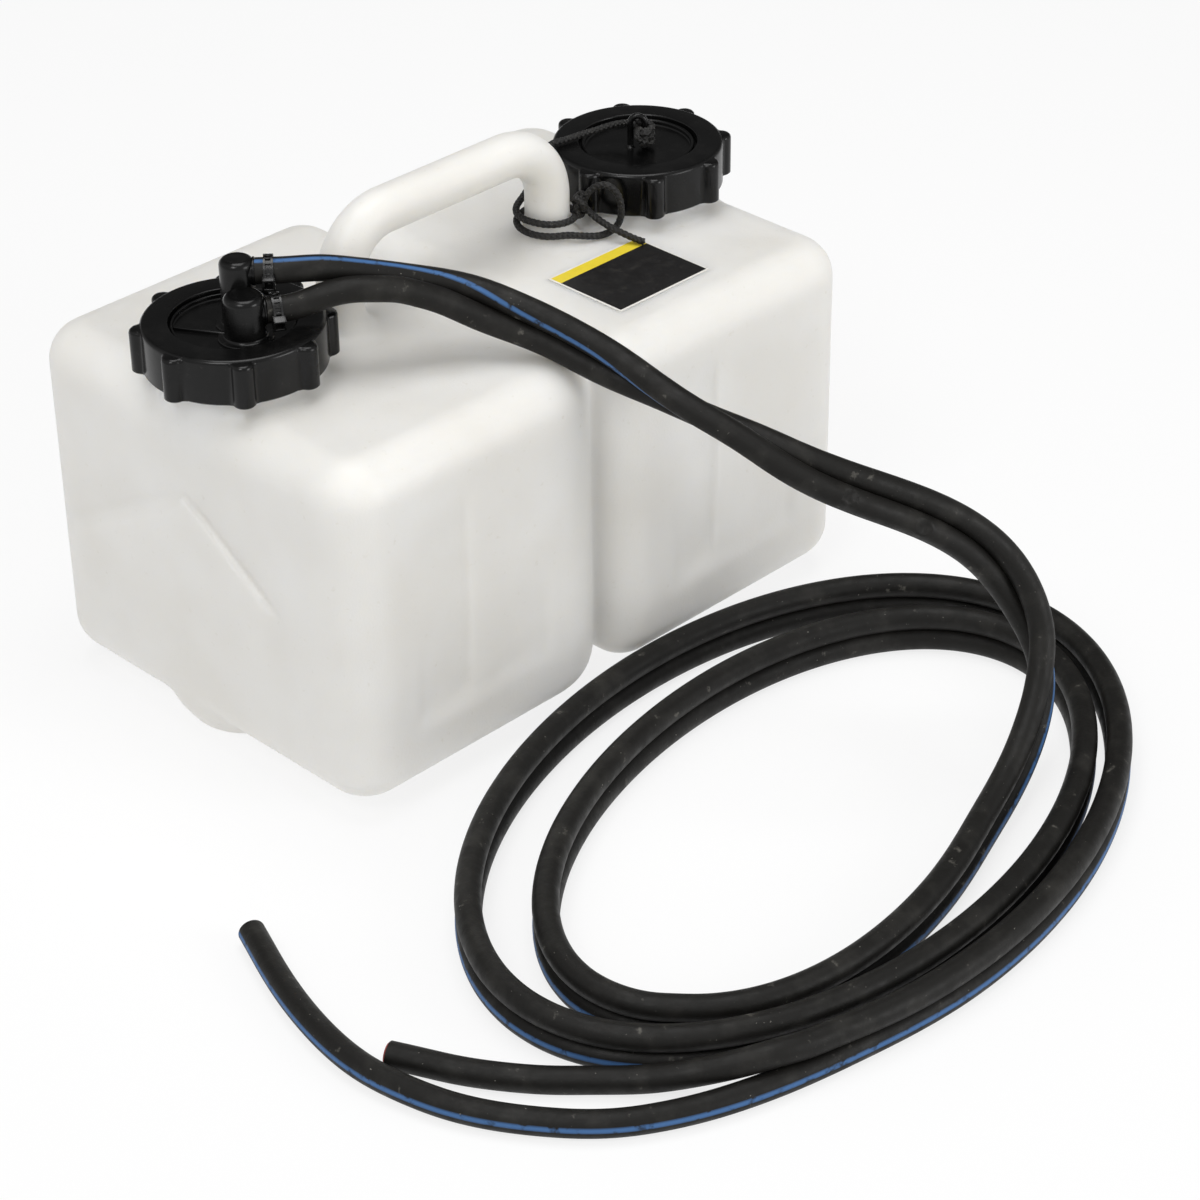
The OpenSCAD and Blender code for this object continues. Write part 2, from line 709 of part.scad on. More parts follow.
// Cage at the foot of the pickup tube: a collar for the tube, a bottom disc and three bars
module strainer_body() {
    low = tube_z + strainer_end_t - strainer_height;
    bar_r = 1.4;
    color(cap_black)
        translate([oil_tower.x, oil_tower.y, 0])
            difference() {
                union() {
                    translate([0, 0, tube_z])
                        cylinder(r = strainer_r, h = strainer_end_t);
                    translate([0, 0, low])
                        cylinder(r = strainer_r, h = strainer_end_t);
                    for (i = [0 : 2])
                        rotate(120 * i)
                            translate([strainer_r - screen_t - bar_r - rest_gap, 0, low])
                                cylinder(r = bar_r, h = strainer_height);
                }
                translate([0, 0, tube_z - over])
                    cylinder(r = tube_r + socket_clear, h = strainer_end_t + 2 * over);
            }
}

module strainer_screen() {
    low = tube_z + 2 * strainer_end_t - strainer_height;
    color(steel_grey)
        translate([oil_tower.x, oil_tower.y, low])
            difference() {
                cylinder(r = strainer_r, h = tube_z - low);
                translate([0, 0, -over])
                    cylinder(r = strainer_r - screen_t, h = tube_z - low + 2 * over);
            }
}

// Staple-shaped eye that the tether passes through
module tether_eye() {
    bend_z = plate_top + eye_height - eye_bar_r - eye_leg;
    translate([neck_x, 0, 0])
        rotate(eye_heading) {
            for (side = [-1, 1])
                translate([side * eye_leg, 0, plate_top - over])
                    cylinder(r = eye_bar_r, h = bend_z - plate_top + over);
            translate([0, 0, bend_z])
                rotate([90, 0, 0])
                    rotate_extrude(angle = 180)
                        translate([eye_leg, 0])
                            circle(eye_bar_r);
        }
}

module filler_plate() {
    bead = [for (a = [0 : 15 : 180])
        [bead_r, plate_t] + bead_section_r * [cos(a), sin(a)]];
    color(cap_black) {
        translate([neck_x, 0, plate_z])
            rotate_extrude()
                polygon(concat([[0, 0], [plate_r, 0], [plate_r, plate_t]], bead, [[0, plate_t]]));
        tether_eye();
    }
}

// Cable tie round a hose, with its square head turned to the side
module hose_tie(at, axis_z, heading) {
    inner = hose_r + socket_clear;
    head_width = 6.5;
    head_height = 5;
    slot = [tie_head_length, 4, tie_t];
    translate([at.x, at.y, axis_z])
        rotate([0, 90, heading])
            translate([0, 0, tie_place])
                difference() {
                    union() {
                        translate([0, 0, -tie_width / 2])
                            cylinder(r = inner + tie_t, h = tie_width);
                        rotate(-tie_head_turn)
                            translate([inner, -head_width / 2, -tie_head_length / 2])
                                cube([head_height, head_width, tie_head_length]);
                    }
                    translate([0, 0, -tie_head_length])
                        cylinder(r = inner, h = 2 * tie_head_length);
                    rotate(-tie_head_turn)
                        translate([inner + tie_t + slot.z, -slot.z / 2, -slot.y / 2])
                            cube([slot.x, slot.z, slot.y]);
                }
}

module pressure_hose_tie() {
    color(cap_black)
        hose_tie(pressure_tower, pressure_axis_z, pressure_heading);
}

module oil_hose_tie() {
    color(cap_black)
        hose_tie(oil_tower, oil_axis_z, oil_heading);
}

// Hose from its barb to the coil, bored where it sits on the barb
module hose_run(path, tower, axis_z, heading) {
    difference() {
        swept_tube(path, hose_r, hose_sides);
        translate([tower.x, tower.y, axis_z])
            rotate([0, 90, heading])
                cylinder(r = hose_bore_r, h = barb_length);
    }
}

// Hose from the coil to its open end, bored where a fitting enters
module hose_tail(path) {
    end = path[len(path) - 1];
    way = end - path[len(path) - 2];
    difference() {
        swept_tube(path, hose_r, hose_sides);
        translate(end)
            rotate([0, -90, atan2(way.y, way.x)])
                translate([0, 0, -over])
                    cylinder(r = hose_bore_r, h = hose_end_bore + over);
    }
}

module pressure_hose_run() {
    color(stripe_blue)
        hose_run(pressure_path, pressure_tower, pressure_axis_z, pressure_heading);
}

module pressure_hose_coil() {
    color(stripe_blue)
        swept_tube(coil_path(pressure_z), hose_r, coil_sides);
}

module pressure_hose_tail() {
    color(stripe_blue)
        hose_tail(tail_path(pressure_z, pressure_ends));
}

module oil_hose_run() {
    color(rubber_black)
        hose_run(oil_path, oil_tower, oil_axis_z, oil_heading);
}

module oil_hose_coil() {
    color(rubber_black)
        swept_tube(coil_path(oil_z), hose_r, coil_sides);
}

module oil_hose_tail() {
    color(rubber_black)
        hose_tail(tail_path(oil_z, oil_ends));
}

module cap_tether() {
    color(cord_black)
        swept_tube(tether_route, tether_r, cord_sides);
}

module tether_wrap() {
    color(cord_black)
        swept_tube(wrap_path, tether_r, wrap_sides);
}

module tether_bow() {
    color(cord_black)
        swept_tube(bow_route, tether_r, cord_sides);
}

module eye_knot() {
    color(cord_black)
        translate(eye_knot_at)
            sphere(knot_r, $fn = knot_fn);
}

module leg_knot() {
    color(cord_black)
        translate(leg_knot_at)
            sphere(knot_r, $fn = knot_fn);
}

tank_shell();
carry_handle();
top_decal();
pickup_collar();
pickup_plate();
pickup_gasket();
pickup_tube();
strainer_body();
strainer_screen();
filler_collar();
filler_plate();
filler_gasket();
eye_knot();
pressure_hose_tie();
oil_hose_tie();
pressure_hose_run();
pressure_hose_coil();
pressure_hose_tail();
oil_hose_run();
oil_hose_coil();
oil_hose_tail();
cap_tether();
tether_wrap();
leg_knot();
tether_bow();
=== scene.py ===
"""Studio picture of a remote oil tank for an outboard engine.

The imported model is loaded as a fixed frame. Each class below builds one sub-assembly of what
shows, in millimetres of that frame, and dresses it in its finish.
"""

import itertools
import logging
import math
from collections.abc import Sequence
from dataclasses import dataclass
from enum import Enum

import bmesh
import bpy
import numpy as np
from mathutils import Matrix, Vector


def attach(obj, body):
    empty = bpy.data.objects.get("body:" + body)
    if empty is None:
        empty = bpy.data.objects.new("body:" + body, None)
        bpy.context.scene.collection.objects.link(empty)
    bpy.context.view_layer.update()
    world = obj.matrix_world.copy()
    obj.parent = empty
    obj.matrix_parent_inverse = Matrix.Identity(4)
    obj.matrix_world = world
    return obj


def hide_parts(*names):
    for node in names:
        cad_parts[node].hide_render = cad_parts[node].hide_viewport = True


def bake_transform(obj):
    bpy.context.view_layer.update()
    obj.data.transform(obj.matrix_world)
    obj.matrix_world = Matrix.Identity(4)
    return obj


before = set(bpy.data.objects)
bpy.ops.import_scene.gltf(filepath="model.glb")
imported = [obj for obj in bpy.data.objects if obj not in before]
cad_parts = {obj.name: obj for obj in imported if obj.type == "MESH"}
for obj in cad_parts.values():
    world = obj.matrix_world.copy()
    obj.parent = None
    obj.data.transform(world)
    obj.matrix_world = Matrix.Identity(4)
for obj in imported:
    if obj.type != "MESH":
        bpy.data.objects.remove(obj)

LOG = logging.getLogger("oil_tank")
MM = 0.001
UP = np.array((0.0, 0.0, 1.0))
# Radius of the hoses
HOSE_R = 6.6
# Radius at which a turned profile stops short of its axis
AXIS = 0.05
# Angle in degrees above which an edge stays crisp, on hard parts and on braid
CRISP = 38.0
BRAID_CRISP = 80.0
# Sockets of a colour mix, whose names are shared by its other kinds: share, first, second and result
SHARE, UNDER, OVER, MIXED = 0, 6, 7, 2
Grid = np.ndarray
Point = Sequence[float]
Tree = bpy.types.NodeTree
Socket = bpy.types.NodeSocket
Object = bpy.types.Object


class Body(Enum):
    """Bodies of the frame that a piece can ride on."""

    TANK = "tank_body"
    PICKUP = "pickup_insert"
    PICKUP_RING = "pickup_ring"
    FILLER = "filler_insert"
    FILLER_RING = "filler_ring"


class Slot(Enum):
    """Material slots of the record."""

    TANK = "tank"
    CAP = "cap"
    TIE = "tie"
    HOSE = "hose"
    TETHER = "tether"
    FILM = "decal_film"


class Side(Enum):
    """The two hoses, by the side of the pair that each lies on."""

    PRESSURE = -1.0
    OIL = 1.0


def linear(colour: str) -> tuple[float, float, float, float]:
    """Turns an sRGB hex colour into linear light.

    Args:
        colour: Colour as "#rrggbb".

    Returns:
        Linear red, green, blue and an alpha of 1.
    """
    parts = [int(colour[i : i + 2], 16) / 255 for i in (1, 3, 5)]
    light = [c / 12.92 if c <= 0.04045 else ((c + 0.055) / 1.055) ** 2.4 for c in parts]
    return light[0], light[1], light[2], 1.0


def add(tree: Tree, kind: str, inputs: dict | None = None, **settings: object) -> bpy.types.Node:
    """Adds a node, sets its properties, and fills or links its inputs.

    Args:
        tree: Tree that gets the node.
        kind: Blender's name for the node type.
        inputs: Input name or number to a value, or to a socket to link from.
        **settings: Properties of the node.

    Returns:
        The new node.
    """
    node = tree.nodes.new(kind)
    for key, value in settings.items():
        setattr(node, key, value)
    for key, value in (inputs or {}).items():
        if isinstance(value, Socket):
            tree.links.new(value, node.inputs[key])
        else:
            node.inputs[key].default_value = value
    return node


def emptied(owner: bpy.types.Material | bpy.types.World) -> Tree:
    """Gets a node tree ready to be filled.

    Args:
        owner: Material or world that has it.

    Returns:
        The tree, with nothing in it.
    """
    owner.use_nodes = True
    owner.node_tree.nodes.clear()
    return owner.node_tree


def placed(name: str, data: bpy.types.ID) -> Object:
    """Puts a mesh, a light or a camera into the scene.

    Args:
        name: Name of the object.
        data: What it shows.

    Returns:
        The object, at the origin.
    """
    obj = bpy.data.objects.new(name, data)
    bpy.context.scene.collection.objects.link(obj)
    return obj


def unit(v: Grid) -> Grid:
    """Scales vectors to length 1."""
    return v / np.linalg.norm(v, axis=-1, keepdims=True)


def ramp(x: Grid, start: float | Grid, end: float | Grid) -> Grid:
    """Eases from 0 at start to 1 at end."""
    t = np.clip((x - start) / (end - start), 0.0, 1.0)
    return t * t * (3.0 - 2.0 * t)


def window(x: Grid, low: float, high: float, soft: float) -> Grid:
    """Is 1 between low and high, and eases to 0 over soft outside them."""
    return ramp(x, low - soft, low) * (1.0 - ramp(x, high, high + soft))


def smooth_min(a: Grid, b: Grid, soft: float) -> Grid:
    """Joins two distance fields with a fillet."""
    h = np.maximum(soft - np.abs(a - b), 0.0) / soft
    return np.minimum(a, b) - h * h * soft / 4.0


def rounded(a: Grid, b: Grid, radius: float | Grid) -> Grid:
    """Distance from two walls that meet in a round edge, given those from lines one radius inside them."""
    return np.minimum(np.maximum(a, b), 0.0) + np.hypot(np.maximum(a, 0.0), np.maximum(b, 0.0)) - radius


def heading(degrees: float) -> Grid:
    """Level direction at an angle from +X."""
    a = math.radians(degrees)
    return np.array((math.cos(a), math.sin(a), 0.0))


@dataclass
class Shape:
    """A mesh on its way to Blender.

    Attributes:
        points: Vertices in millimetres.
        faces: Numbers of each face's vertices.
        lay: For each vertex of a hose or cord, the run along it in metres, and the cosine and sine round it.
        slots: Material slot of each face, where there is more than one.
    """

    points: Grid
    faces: list[tuple[int, ...]]
    lay: Grid | None = None
    slots: Grid | None = None

    def moved(self, place: Matrix) -> "Shape":
        """Returns the shape put through a matrix."""
        m = np.array(place)
        return Shape(self.points @ m[:3, :3].T + m[:3, 3], self.faces, self.lay, self.slots)

    def at(self, x: float, y: float, z: float) -> "Shape":
        """Returns the shape moved along the axes."""
        return self.moved(Matrix.Translation((x, y, z)))

    @staticmethod
    def joined(shapes: Sequence["Shape"]) -> "Shape":
        """Makes several shapes one.

        Args:
            shapes: The shapes, whose lays are left out.

        Returns:
            All of them, with the place of each in the row as the slot of its faces.
        """
        faces: list[tuple[int, ...]] = []
        base = 0
        for shape in shapes:
            faces.extend(tuple(base + i for i in face) for face in shape.faces)
            base += len(shape.points)
        slots = np.repeat(np.arange(len(shapes), dtype=np.int32), [len(shape.faces) for shape in shapes])
        return Shape(np.concatenate([shape.points for shape in shapes]), faces, slots=slots)

    def mesh(self, name: str, sharp: float = CRISP) -> bpy.types.Mesh:
        """Makes a smooth-shaded Blender mesh in metres.

        Args:
            name: Name of the mesh.
            sharp: Angle in degrees above which an edge stays crisp.

        Returns:
            The mesh.
        """
        mesh = bpy.data.meshes.new(name)
        mesh.from_pydata((self.points * MM).tolist(), [], self.faces)
        mesh.update()
        mesh.shade_smooth()
        mesh.set_sharp_from_angle(angle=math.radians(sharp))
        if self.lay is not None:
            layer = mesh.attributes.new("lay", "FLOAT_VECTOR", "POINT")
            layer.data.foreach_set("vector", self.lay.astype(np.float32).ravel())
        return mesh


def loft(rings: Grid, close: bool = True) -> Shape:
    """Skins a stack of rings that have the same number of points.

    Args:
        rings: Array of ring, point, coordinate. Rings run round anticlockwise, seen from the far end.
        close: Whether the first and last rings get a face.

    Returns:
        The skin.
    """
    count, sides = rings.shape[:2]
    faces: list[tuple[int, ...]] = []
    for i in range(count - 1):
        a, b = i * sides, (i + 1) * sides
        faces.extend((a + k, a + (k + 1) % sides, b + (k + 1) % sides, b + k) for k in range(sides))
    if close:
        faces.append(tuple(range(sides - 1, -1, -1)))
        faces.append(tuple((count - 1) * sides + k for k in range(sides)))
    return Shape(rings.reshape(-1, 3), faces)


def lathe(profile: Sequence[Point], sides: int, closed: bool = False) -> Shape:
    """Turns a profile of radius and height round the Z axis.

    Args:
        profile: Points that run anticlockwise in the plane of radius and height.
        sides: Steps round the axis.
        closed: Whether the profile is a ring of points that closes on itself.

    Returns:
        The turned shape.
    """
    angles = np.linspace(0.0, 2.0 * math.pi, sides, endpoint=False)
    rows = [np.stack((r * np.cos(angles), r * np.sin(angles), np.full(sides, z)), 1) for r, z in profile]
    if closed:
        rows.append(rows[0])
    return loft(np.array(rows), close=not closed)


def arc(middle: Point, radius: float, start: float, end: float, steps: int) -> list[tuple[float, float]]:
    """Points of an arc in a plane, with its angles in degrees."""
    angles = np.radians(np.linspace(start, end, steps + 1))
    return [(middle[0] + radius * math.cos(a), middle[1] + radius * math.sin(a)) for a in angles]


def rounded_box(size: Point, radius: float, steps: int = 3) -> Shape:
    """Makes a box about the origin.

    Args:
        size: Its three sides.
        radius: Radius of its edges.
        steps: Facets across an edge.

    Returns:
        The box.
    """
    bm = bmesh.new()
    bmesh.ops.create_cube(bm, size=1.0, matrix=Matrix.Diagonal((*size, 1.0)))
    bmesh.ops.bevel(bm, geom=bm.edges[:], offset=radius, segments=steps, profile=0.5, affect="EDGES")
    bm.verts.index_update()
    points = np.array([v.co for v in bm.verts])
    faces = [tuple(v.index for v in f.verts) for f in bm.faces]
    bm.free()
    return Shape(points, faces)


def run_of(path: Grid) -> Grid:
    """Distance along a path at each of its points."""
    return np.concatenate(([0.0], np.cumsum(np.linalg.norm(np.diff(path, axis=0), axis=1))))


def spline(controls: Grid, step: float) -> tuple[Grid, Grid]:
    """Smooth curve through points, cut into even steps.

    Args:
        controls: Points to pass through. Columns after the third are carried along.
        step: Longest distance between the points of the curve.

    Returns:
        The points of the curve, and for each of them its place among the controls.
    """
    finer = 6
    knots = run_of(controls[:, :3])
    h = np.diff(knots)
    count = len(knots)
    system = np.eye(count)
    right = np.zeros_like(controls)
    slope = np.diff(controls, axis=0) / h[:, None]
    for i in range(1, count - 1):
        system[i, i - 1 : i + 2] = h[i - 1], 2.0 * (h[i - 1] + h[i]), h[i]
        right[i] = 6.0 * (slope[i] - slope[i - 1])
    bend = np.linalg.solve(system, right)

    def at(t: Grid) -> Grid:
        """Finds points of the curve.

        Args:
            t: Places along the line of controls.

        Returns:
            The points.
        """
        i = np.clip(np.searchsorted(knots, t, side="right") - 1, 0, count - 2)
        a = ((knots[i + 1] - t) / h[i])[:, None]
        b = 1.0 - a
        sag = ((a**3 - a) * bend[i] + (b**3 - b) * bend[i + 1]) * (h[i] ** 2)[:, None] / 6.0
        return a * controls[i] + b * controls[i + 1] + sag

    fine = np.linspace(0.0, knots[-1], int(knots[-1] / step * finer) + 2)
    length = run_of(at(fine)[:, :3])
    even = np.interp(np.linspace(0.0, length[-1], int(math.ceil(length[-1] / step)) + 1), length, fine)
    return at(even), np.interp(even, knots, np.arange(count))


def tangents(path: Grid) -> Grid:
    """Directions along a path."""
    return unit(np.gradient(path, axis=0))


def carried(path: Grid, first: Grid) -> Grid:
    """Carries a side direction along a path without twist.

    Args:
        path: The path.
        first: Direction at its start.

    Returns:
        The direction at each point.
    """
    sides = np.zeros_like(path)
    side = first
    for i, t in enumerate(tangents(path)):
        side = unit(side - np.dot(side, t) * t)
        sides[i] = side
    return sides


def tube(path: Grid, sides: Grid, radius: float | Grid, count: int, along: Grid | None = None) -> Shape:
    """Round skin along a path, with the direction round it recorded as its lay.

    Args:
        path: Middle line.
        sides: Direction at each point that angles are measured from.
        radius: Radius, or one for each point, or one for each point and angle.
        count: Points round the skin.
        along: Direction of the path at each point, where it isn't plain from the points.

    Returns:
        The skin, with its ends closed.
    """
    along = tangents(path) if along is None else along
    sides = unit(sides - (sides * along).sum(1, keepdims=True) * along)
    angle = np.linspace(0.0, 2.0 * math.pi, count, endpoint=False)
    cos, sin = np.cos(angle), np.sin(angle)
    size = np.asarray(radius, float)
    size = np.broadcast_to(size if size.ndim == 2 else size.reshape(-1, 1), (len(path), count))
    ring = cos[None, :, None] * sides[:, None, :] + sin[None, :, None] * np.cross(along, sides)[:, None, :]
    shape = loft(path[:, None, :] + size[:, :, None] * ring)
    lay = np.zeros((len(path), count, 3))
    lay[:, :, 0] = run_of(path)[:, None] * MM
    lay[:, :, 1], lay[:, :, 2] = cos, sin
    shape.lay = lay.reshape(-1, 3)
    return shape


def piece(
    name: str,
    shape: Shape,
    finishes: Sequence["Finish"],
    body: Body | None,
    nodes: Sequence[str],
    sharp: float = CRISP,
) -> Object:
    """Puts a shape into the scene as a visible piece of the object.

    Args:
        name: Name of the piece.
        shape: Its shape, in place.
        finishes: One finish for the whole piece, or one for each of the shape's slots.
        body: Body that it rides on, or None if it rides on none.
        nodes: Frame nodes that it stands for.
        sharp: Angle in degrees above which an edge stays crisp.

    Returns:
        The object.
    """
    mesh = shape.mesh(name, sharp)
    obj = placed(name, mesh)
    for finish in finishes:
        mesh.materials.append(finish.material())
    if len(finishes) > 1:
        mesh.polygons.foreach_set("material_index", shape.slots)
    if body is not None:
        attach(obj, body.value)
    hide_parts(*nodes)
    return obj


@dataclass(frozen=True)
class Grain:
    """Soft noise at a real size, for colour, gloss or relief.

    Attributes:
        size: Size of a patch in millimetres.
        weight: Full strength: a share of the colour, a change of roughness, or a depth in millimetres.
        colour: sRGB hex colour that it brings, where it changes the colour.
        low: Noise value at which it starts.
        high: Noise value at which it is full.
        detail: Octaves of finer noise.
        finer: Strength of each octave against the one before.
    """

    size: float
    weight: float
    colour: str = ""
    low: float = 0.3
    high: float = 0.7
    detail: float = 3.0
    finer: float = 0.55

    def drawn(self, tree: Tree, where: Socket, full: float) -> Socket:
        """Adds the pattern to a tree.

        Args:
            tree: Tree that gets it.
            where: Coordinates in metres.
            full: Value where the pattern is full.

        Returns:
            Socket with values from 0 to full.
        """
        scale = 1.0 / (self.size * MM)
        noise = {"Vector": where, "Scale": scale, "Detail": self.detail, "Roughness": self.finer}
        cloud = add(tree, "ShaderNodeTexNoise", noise).outputs["Fac"]
        share = {"Value": cloud, "From Min": self.low, "From Max": self.high, "To Max": full}
        return add(tree, "ShaderNodeMapRange", share).outputs["Result"]


@dataclass(frozen=True)
class Finish:
    """A surface: a base colour with patches, uneven gloss and relief.

    Attributes:
        name: Real material.
        colour: Base colour as sRGB hex.
        rough: Roughness where it is glossiest.
        patches: Patterns that change the colour.
        gloss: Patterns that roughen it.
        relief: Patterns that raise it.
        sockets: Other values of the shader.
    """

    name: str
    colour: str
    rough: float
    patches: tuple[Grain, ...] = ()
    gloss: tuple[Grain, ...] = ()
    relief: tuple[Grain, ...] = ()
    sockets: tuple[tuple[str, object], ...] = ()

    def material(self) -> bpy.types.Material:
        """Builds the material, once.

        Returns:
            The material.
        """
        found = bpy.data.materials.get(self.name)
        if found is not None:
            return found
        made = bpy.data.materials.new(self.name)
        tree = emptied(made)
        where = add(tree, "ShaderNodeTexCoord").outputs["Object"]
        colour: object = linear(self.colour)
        for grain in self.patches:
            share = grain.drawn(tree, where, grain.weight)
            patch = {SHARE: share, UNDER: colour, OVER: linear(grain.colour)}
            colour = add(tree, "ShaderNodeMix", patch, data_type="RGBA").outputs[MIXED]
        colour = self.printed(tree, where, colour)
        inputs: dict = {"Base Color": colour, "Roughness": self.rough, **dict(self.sockets)}
        for grain in self.gloss:
            more = {0: grain.drawn(tree, where, grain.weight), 1: inputs["Roughness"]}
            inputs["Roughness"] = add(tree, "ShaderNodeMath", more, operation="ADD").outputs[0]
        for grain in self.relief:
            height = grain.drawn(tree, where, 1.0)
            bump: dict = {"Height": height, "Distance": grain.weight * MM, "Strength": 1.0}
            if "Normal" in inputs:
                bump["Normal"] = inputs["Normal"]
            inputs["Normal"] = add(tree, "ShaderNodeBump", bump).outputs["Normal"]
        shader = add(tree, "ShaderNodeBsdfPrincipled", inputs)
        add(tree, "ShaderNodeOutputMaterial", {"Surface": shader.outputs["BSDF"]})
        return made

    def printed(self, tree: Tree, where: Socket, colour: object) -> object:
        """Adds what is printed or woven over the base colour, which is nothing on a plain surface.

        Args:
            tree: Tree that gets it.
            where: Coordinates in metres.
            colour: Colour so far, as a value or a socket.

        Returns:
            The colour with the print.
        """
        return colour


@dataclass(frozen=True)
class StripedRubber(Finish):
    """Rubber hose with a stripe printed along one side, rubbed away in places.

    Attributes:
        stripe: Colour of the stripe.
        stripe_at: Angle of the stripe from the other hose, in degrees.
        stripe_half: Half of the angle that the stripe covers.
        stripe_soft: Half of the cosine over which its edge fades.
        wear: Where the stripe is rubbed away.
    """

    stripe: str = "#406696"
    stripe_at: float = -80.0
    stripe_half: float = 11.0
    stripe_soft: float = 0.012
    wear: Grain = Grain(5.0, 0.85, low=0.56, high=0.72, detail=5.0)

    def printed(self, tree: Tree, where: Socket, colour: object) -> object:
        """Adds the stripe.

        Args:
            tree: Tree that gets it.
            where: Coordinates in metres.
            colour: Colour of the rubber.

        Returns:
            The colour with the stripe.
        """
        lay = add(tree, "ShaderNodeAttribute", attribute_name="lay").outputs["Vector"]
        a = math.radians(self.stripe_at)
        way = {0: lay, 1: (0.0, math.cos(a), math.sin(a))}
        facing = add(tree, "ShaderNodeVectorMath", way, operation="DOT_PRODUCT").outputs["Value"]
        edge = math.cos(math.radians(self.stripe_half))
        fade = {"Value": facing, "From Min": edge - self.stripe_soft, "From Max": edge + self.stripe_soft}
        band = add(tree, "ShaderNodeMapRange", fade).outputs["Result"]
        rubbed = {0: band, 1: self.wear.drawn(tree, where, self.wear.weight)}
        share = add(tree, "ShaderNodeMath", rubbed, operation="SUBTRACT", use_clamp=True).outputs[0]
        mix = {SHARE: share, UNDER: colour, OVER: linear(self.stripe)}
        return add(tree, "ShaderNodeMix", mix, data_type="RGBA").outputs[MIXED]


@dataclass(frozen=True)
class WovenSteel(Finish):
    """Stainless gauze.

    Attributes:
        gap: Colour between the wires.
        mesh: Spacing of the wires in millimetres.
    """

    gap: str = "#3c3c3c"
    mesh: float = 0.8

    def printed(self, tree: Tree, where: Socket, colour: object) -> object:
        """Adds the weave.

        Args:
            tree: Tree that gets it.
            where: Coordinates in metres.
            colour: Colour of the wire.

        Returns:
            The colour with the weave.
        """
        weave = add(tree, "ShaderNodeTexChecker", {"Vector": where, "Scale": 1.0 / (self.mesh * MM)})
        mix = {SHARE: weave.outputs["Fac"], UNDER: colour, OVER: linear(self.gap)}
        return add(tree, "ShaderNodeMix", mix, data_type="RGBA").outputs[MIXED]


# Undyed blow-moulded HDPE: milky, faintly mottled, with a satin sheen, a wavy skin and light that soaks in
NATURAL_SKIN = {
    "gloss": (Grain(9.0, 0.14),),
    "relief": (Grain(26.0, 0.45, detail=1.0), Grain(1.3, 0.03, detail=2.0)),
    "sockets": (
        ("IOR", 1.53),
        ("Specular IOR Level", 0.35),
        ("Subsurface Weight", 0.9),
        ("Subsurface Radius", (1.0, 0.95, 0.85)),
        ("Subsurface Scale", 0.016),
    ),
}
TANK_WHITE = Finish(
    "natural_hdpe", "#e4e3e0", 0.36,
    patches=(Grain(70.0, 1.0, "#dedcd7", detail=2.0), Grain(4.0, 0.35, "#cbc6b8", 0.66, 0.8)),
    **NATURAL_SKIN,
)
# Softer polyethylene of the tube inside, milky like the tank and a little yellower
TUBE_WHITE = Finish("natural_ldpe", "#d9d7d0", 0.36, (Grain(20.0, 1.0, "#cdcac0"),), **NATURAL_SKIN)
# Injection-moulded black polypropylene: deep black, with a soft sheen along its edges and dust in its grain
CAP_BLACK = Finish(
    "black_polypropylene", "#090909", 0.2,
    patches=(Grain(12.0, 0.3, "#242322", 0.5, 0.78, 5.0), Grain(1.2, 0.35, "#4a4845", 0.68, 0.78, 2.0)),
    gloss=(Grain(22.0, 0.08, detail=2.0),),
    relief=(Grain(9.0, 0.03, detail=1.0),),
    sockets=(("IOR", 1.49), ("Specular IOR Level", 0.28)),
)
# Moulded nylon: black like the caps, but glossier and cleaner
TIE_NYLON = Finish(
    "black_nylon", "#0d0d0d", 0.2,
    patches=(Grain(6.0, 0.25, "#2a2928", 0.5, 0.75, 4.0),),
    gloss=(Grain(3.0, 0.15),),
    relief=(Grain(0.5, 0.015, detail=1.0),),
    sockets=(("IOR", 1.53), ("Specular IOR Level", 0.5)),
)
# Extruded nitrile rubber: dull black with chalky scuffs, pale specks and a fine drawn grain
RUBBER = {
    "patches": (
        Grain(16.0, 0.16, "#5d5b56", 0.5, 0.8, 6.0),
        Grain(8.0, 0.5, "#85827a", 0.66, 0.78, 8.0),
        Grain(1.6, 0.7, "#a09d95", 0.74, 0.79, 2.0),
    ),
    "gloss": (Grain(7.0, 0.2, detail=4.0),),
    "relief": (Grain(4.0, 0.08), Grain(0.5, 0.02, detail=1.0)),
    "sockets": (("Specular IOR Level", 0.22),),
}
PRESSURE_RUBBER = StripedRubber("striped_nitrile_hose", "#161513", 0.42, **RUBBER)
OIL_RUBBER = Finish("nitrile_hose", "#161513", 0.42, **RUBBER)
# Lining of the oil hose, seen as a thin red ring on its cut face
RED_CUT = Finish(
    "red_hose_lining", "#a33229", 0.6,
    patches=(Grain(2.0, 0.6, "#571f1a"),),
    relief=(Grain(0.7, 0.1, detail=2.0),),
)
# Inside of a hose: too dark to show more than a dull film of oil
HOSE_BORE = Finish(
    "oily_hose_bore", "#0b0b0b", 0.3,
    gloss=(Grain(3.0, 0.4),),
    sockets=(("Specular IOR Level", 0.3),),
)
# Braided polyester: matt black, fuzzy at its edges, with the light on each strand and worn fibres between
CORD_BLACK = Finish(
    "braided_polyester", "#100f0e", 0.5,
    patches=(Grain(2.0, 0.4, "#34322d", 0.5, 0.75, 4.0), Grain(0.7, 0.6, "#8a867c", 0.7, 0.78, 1.0)),
    relief=(Grain(0.35, 0.05, detail=2.0),),
    sockets=(("Sheen Weight", 0.08), ("Sheen Roughness", 0.4), ("Specular IOR Level", 0.4)),
)
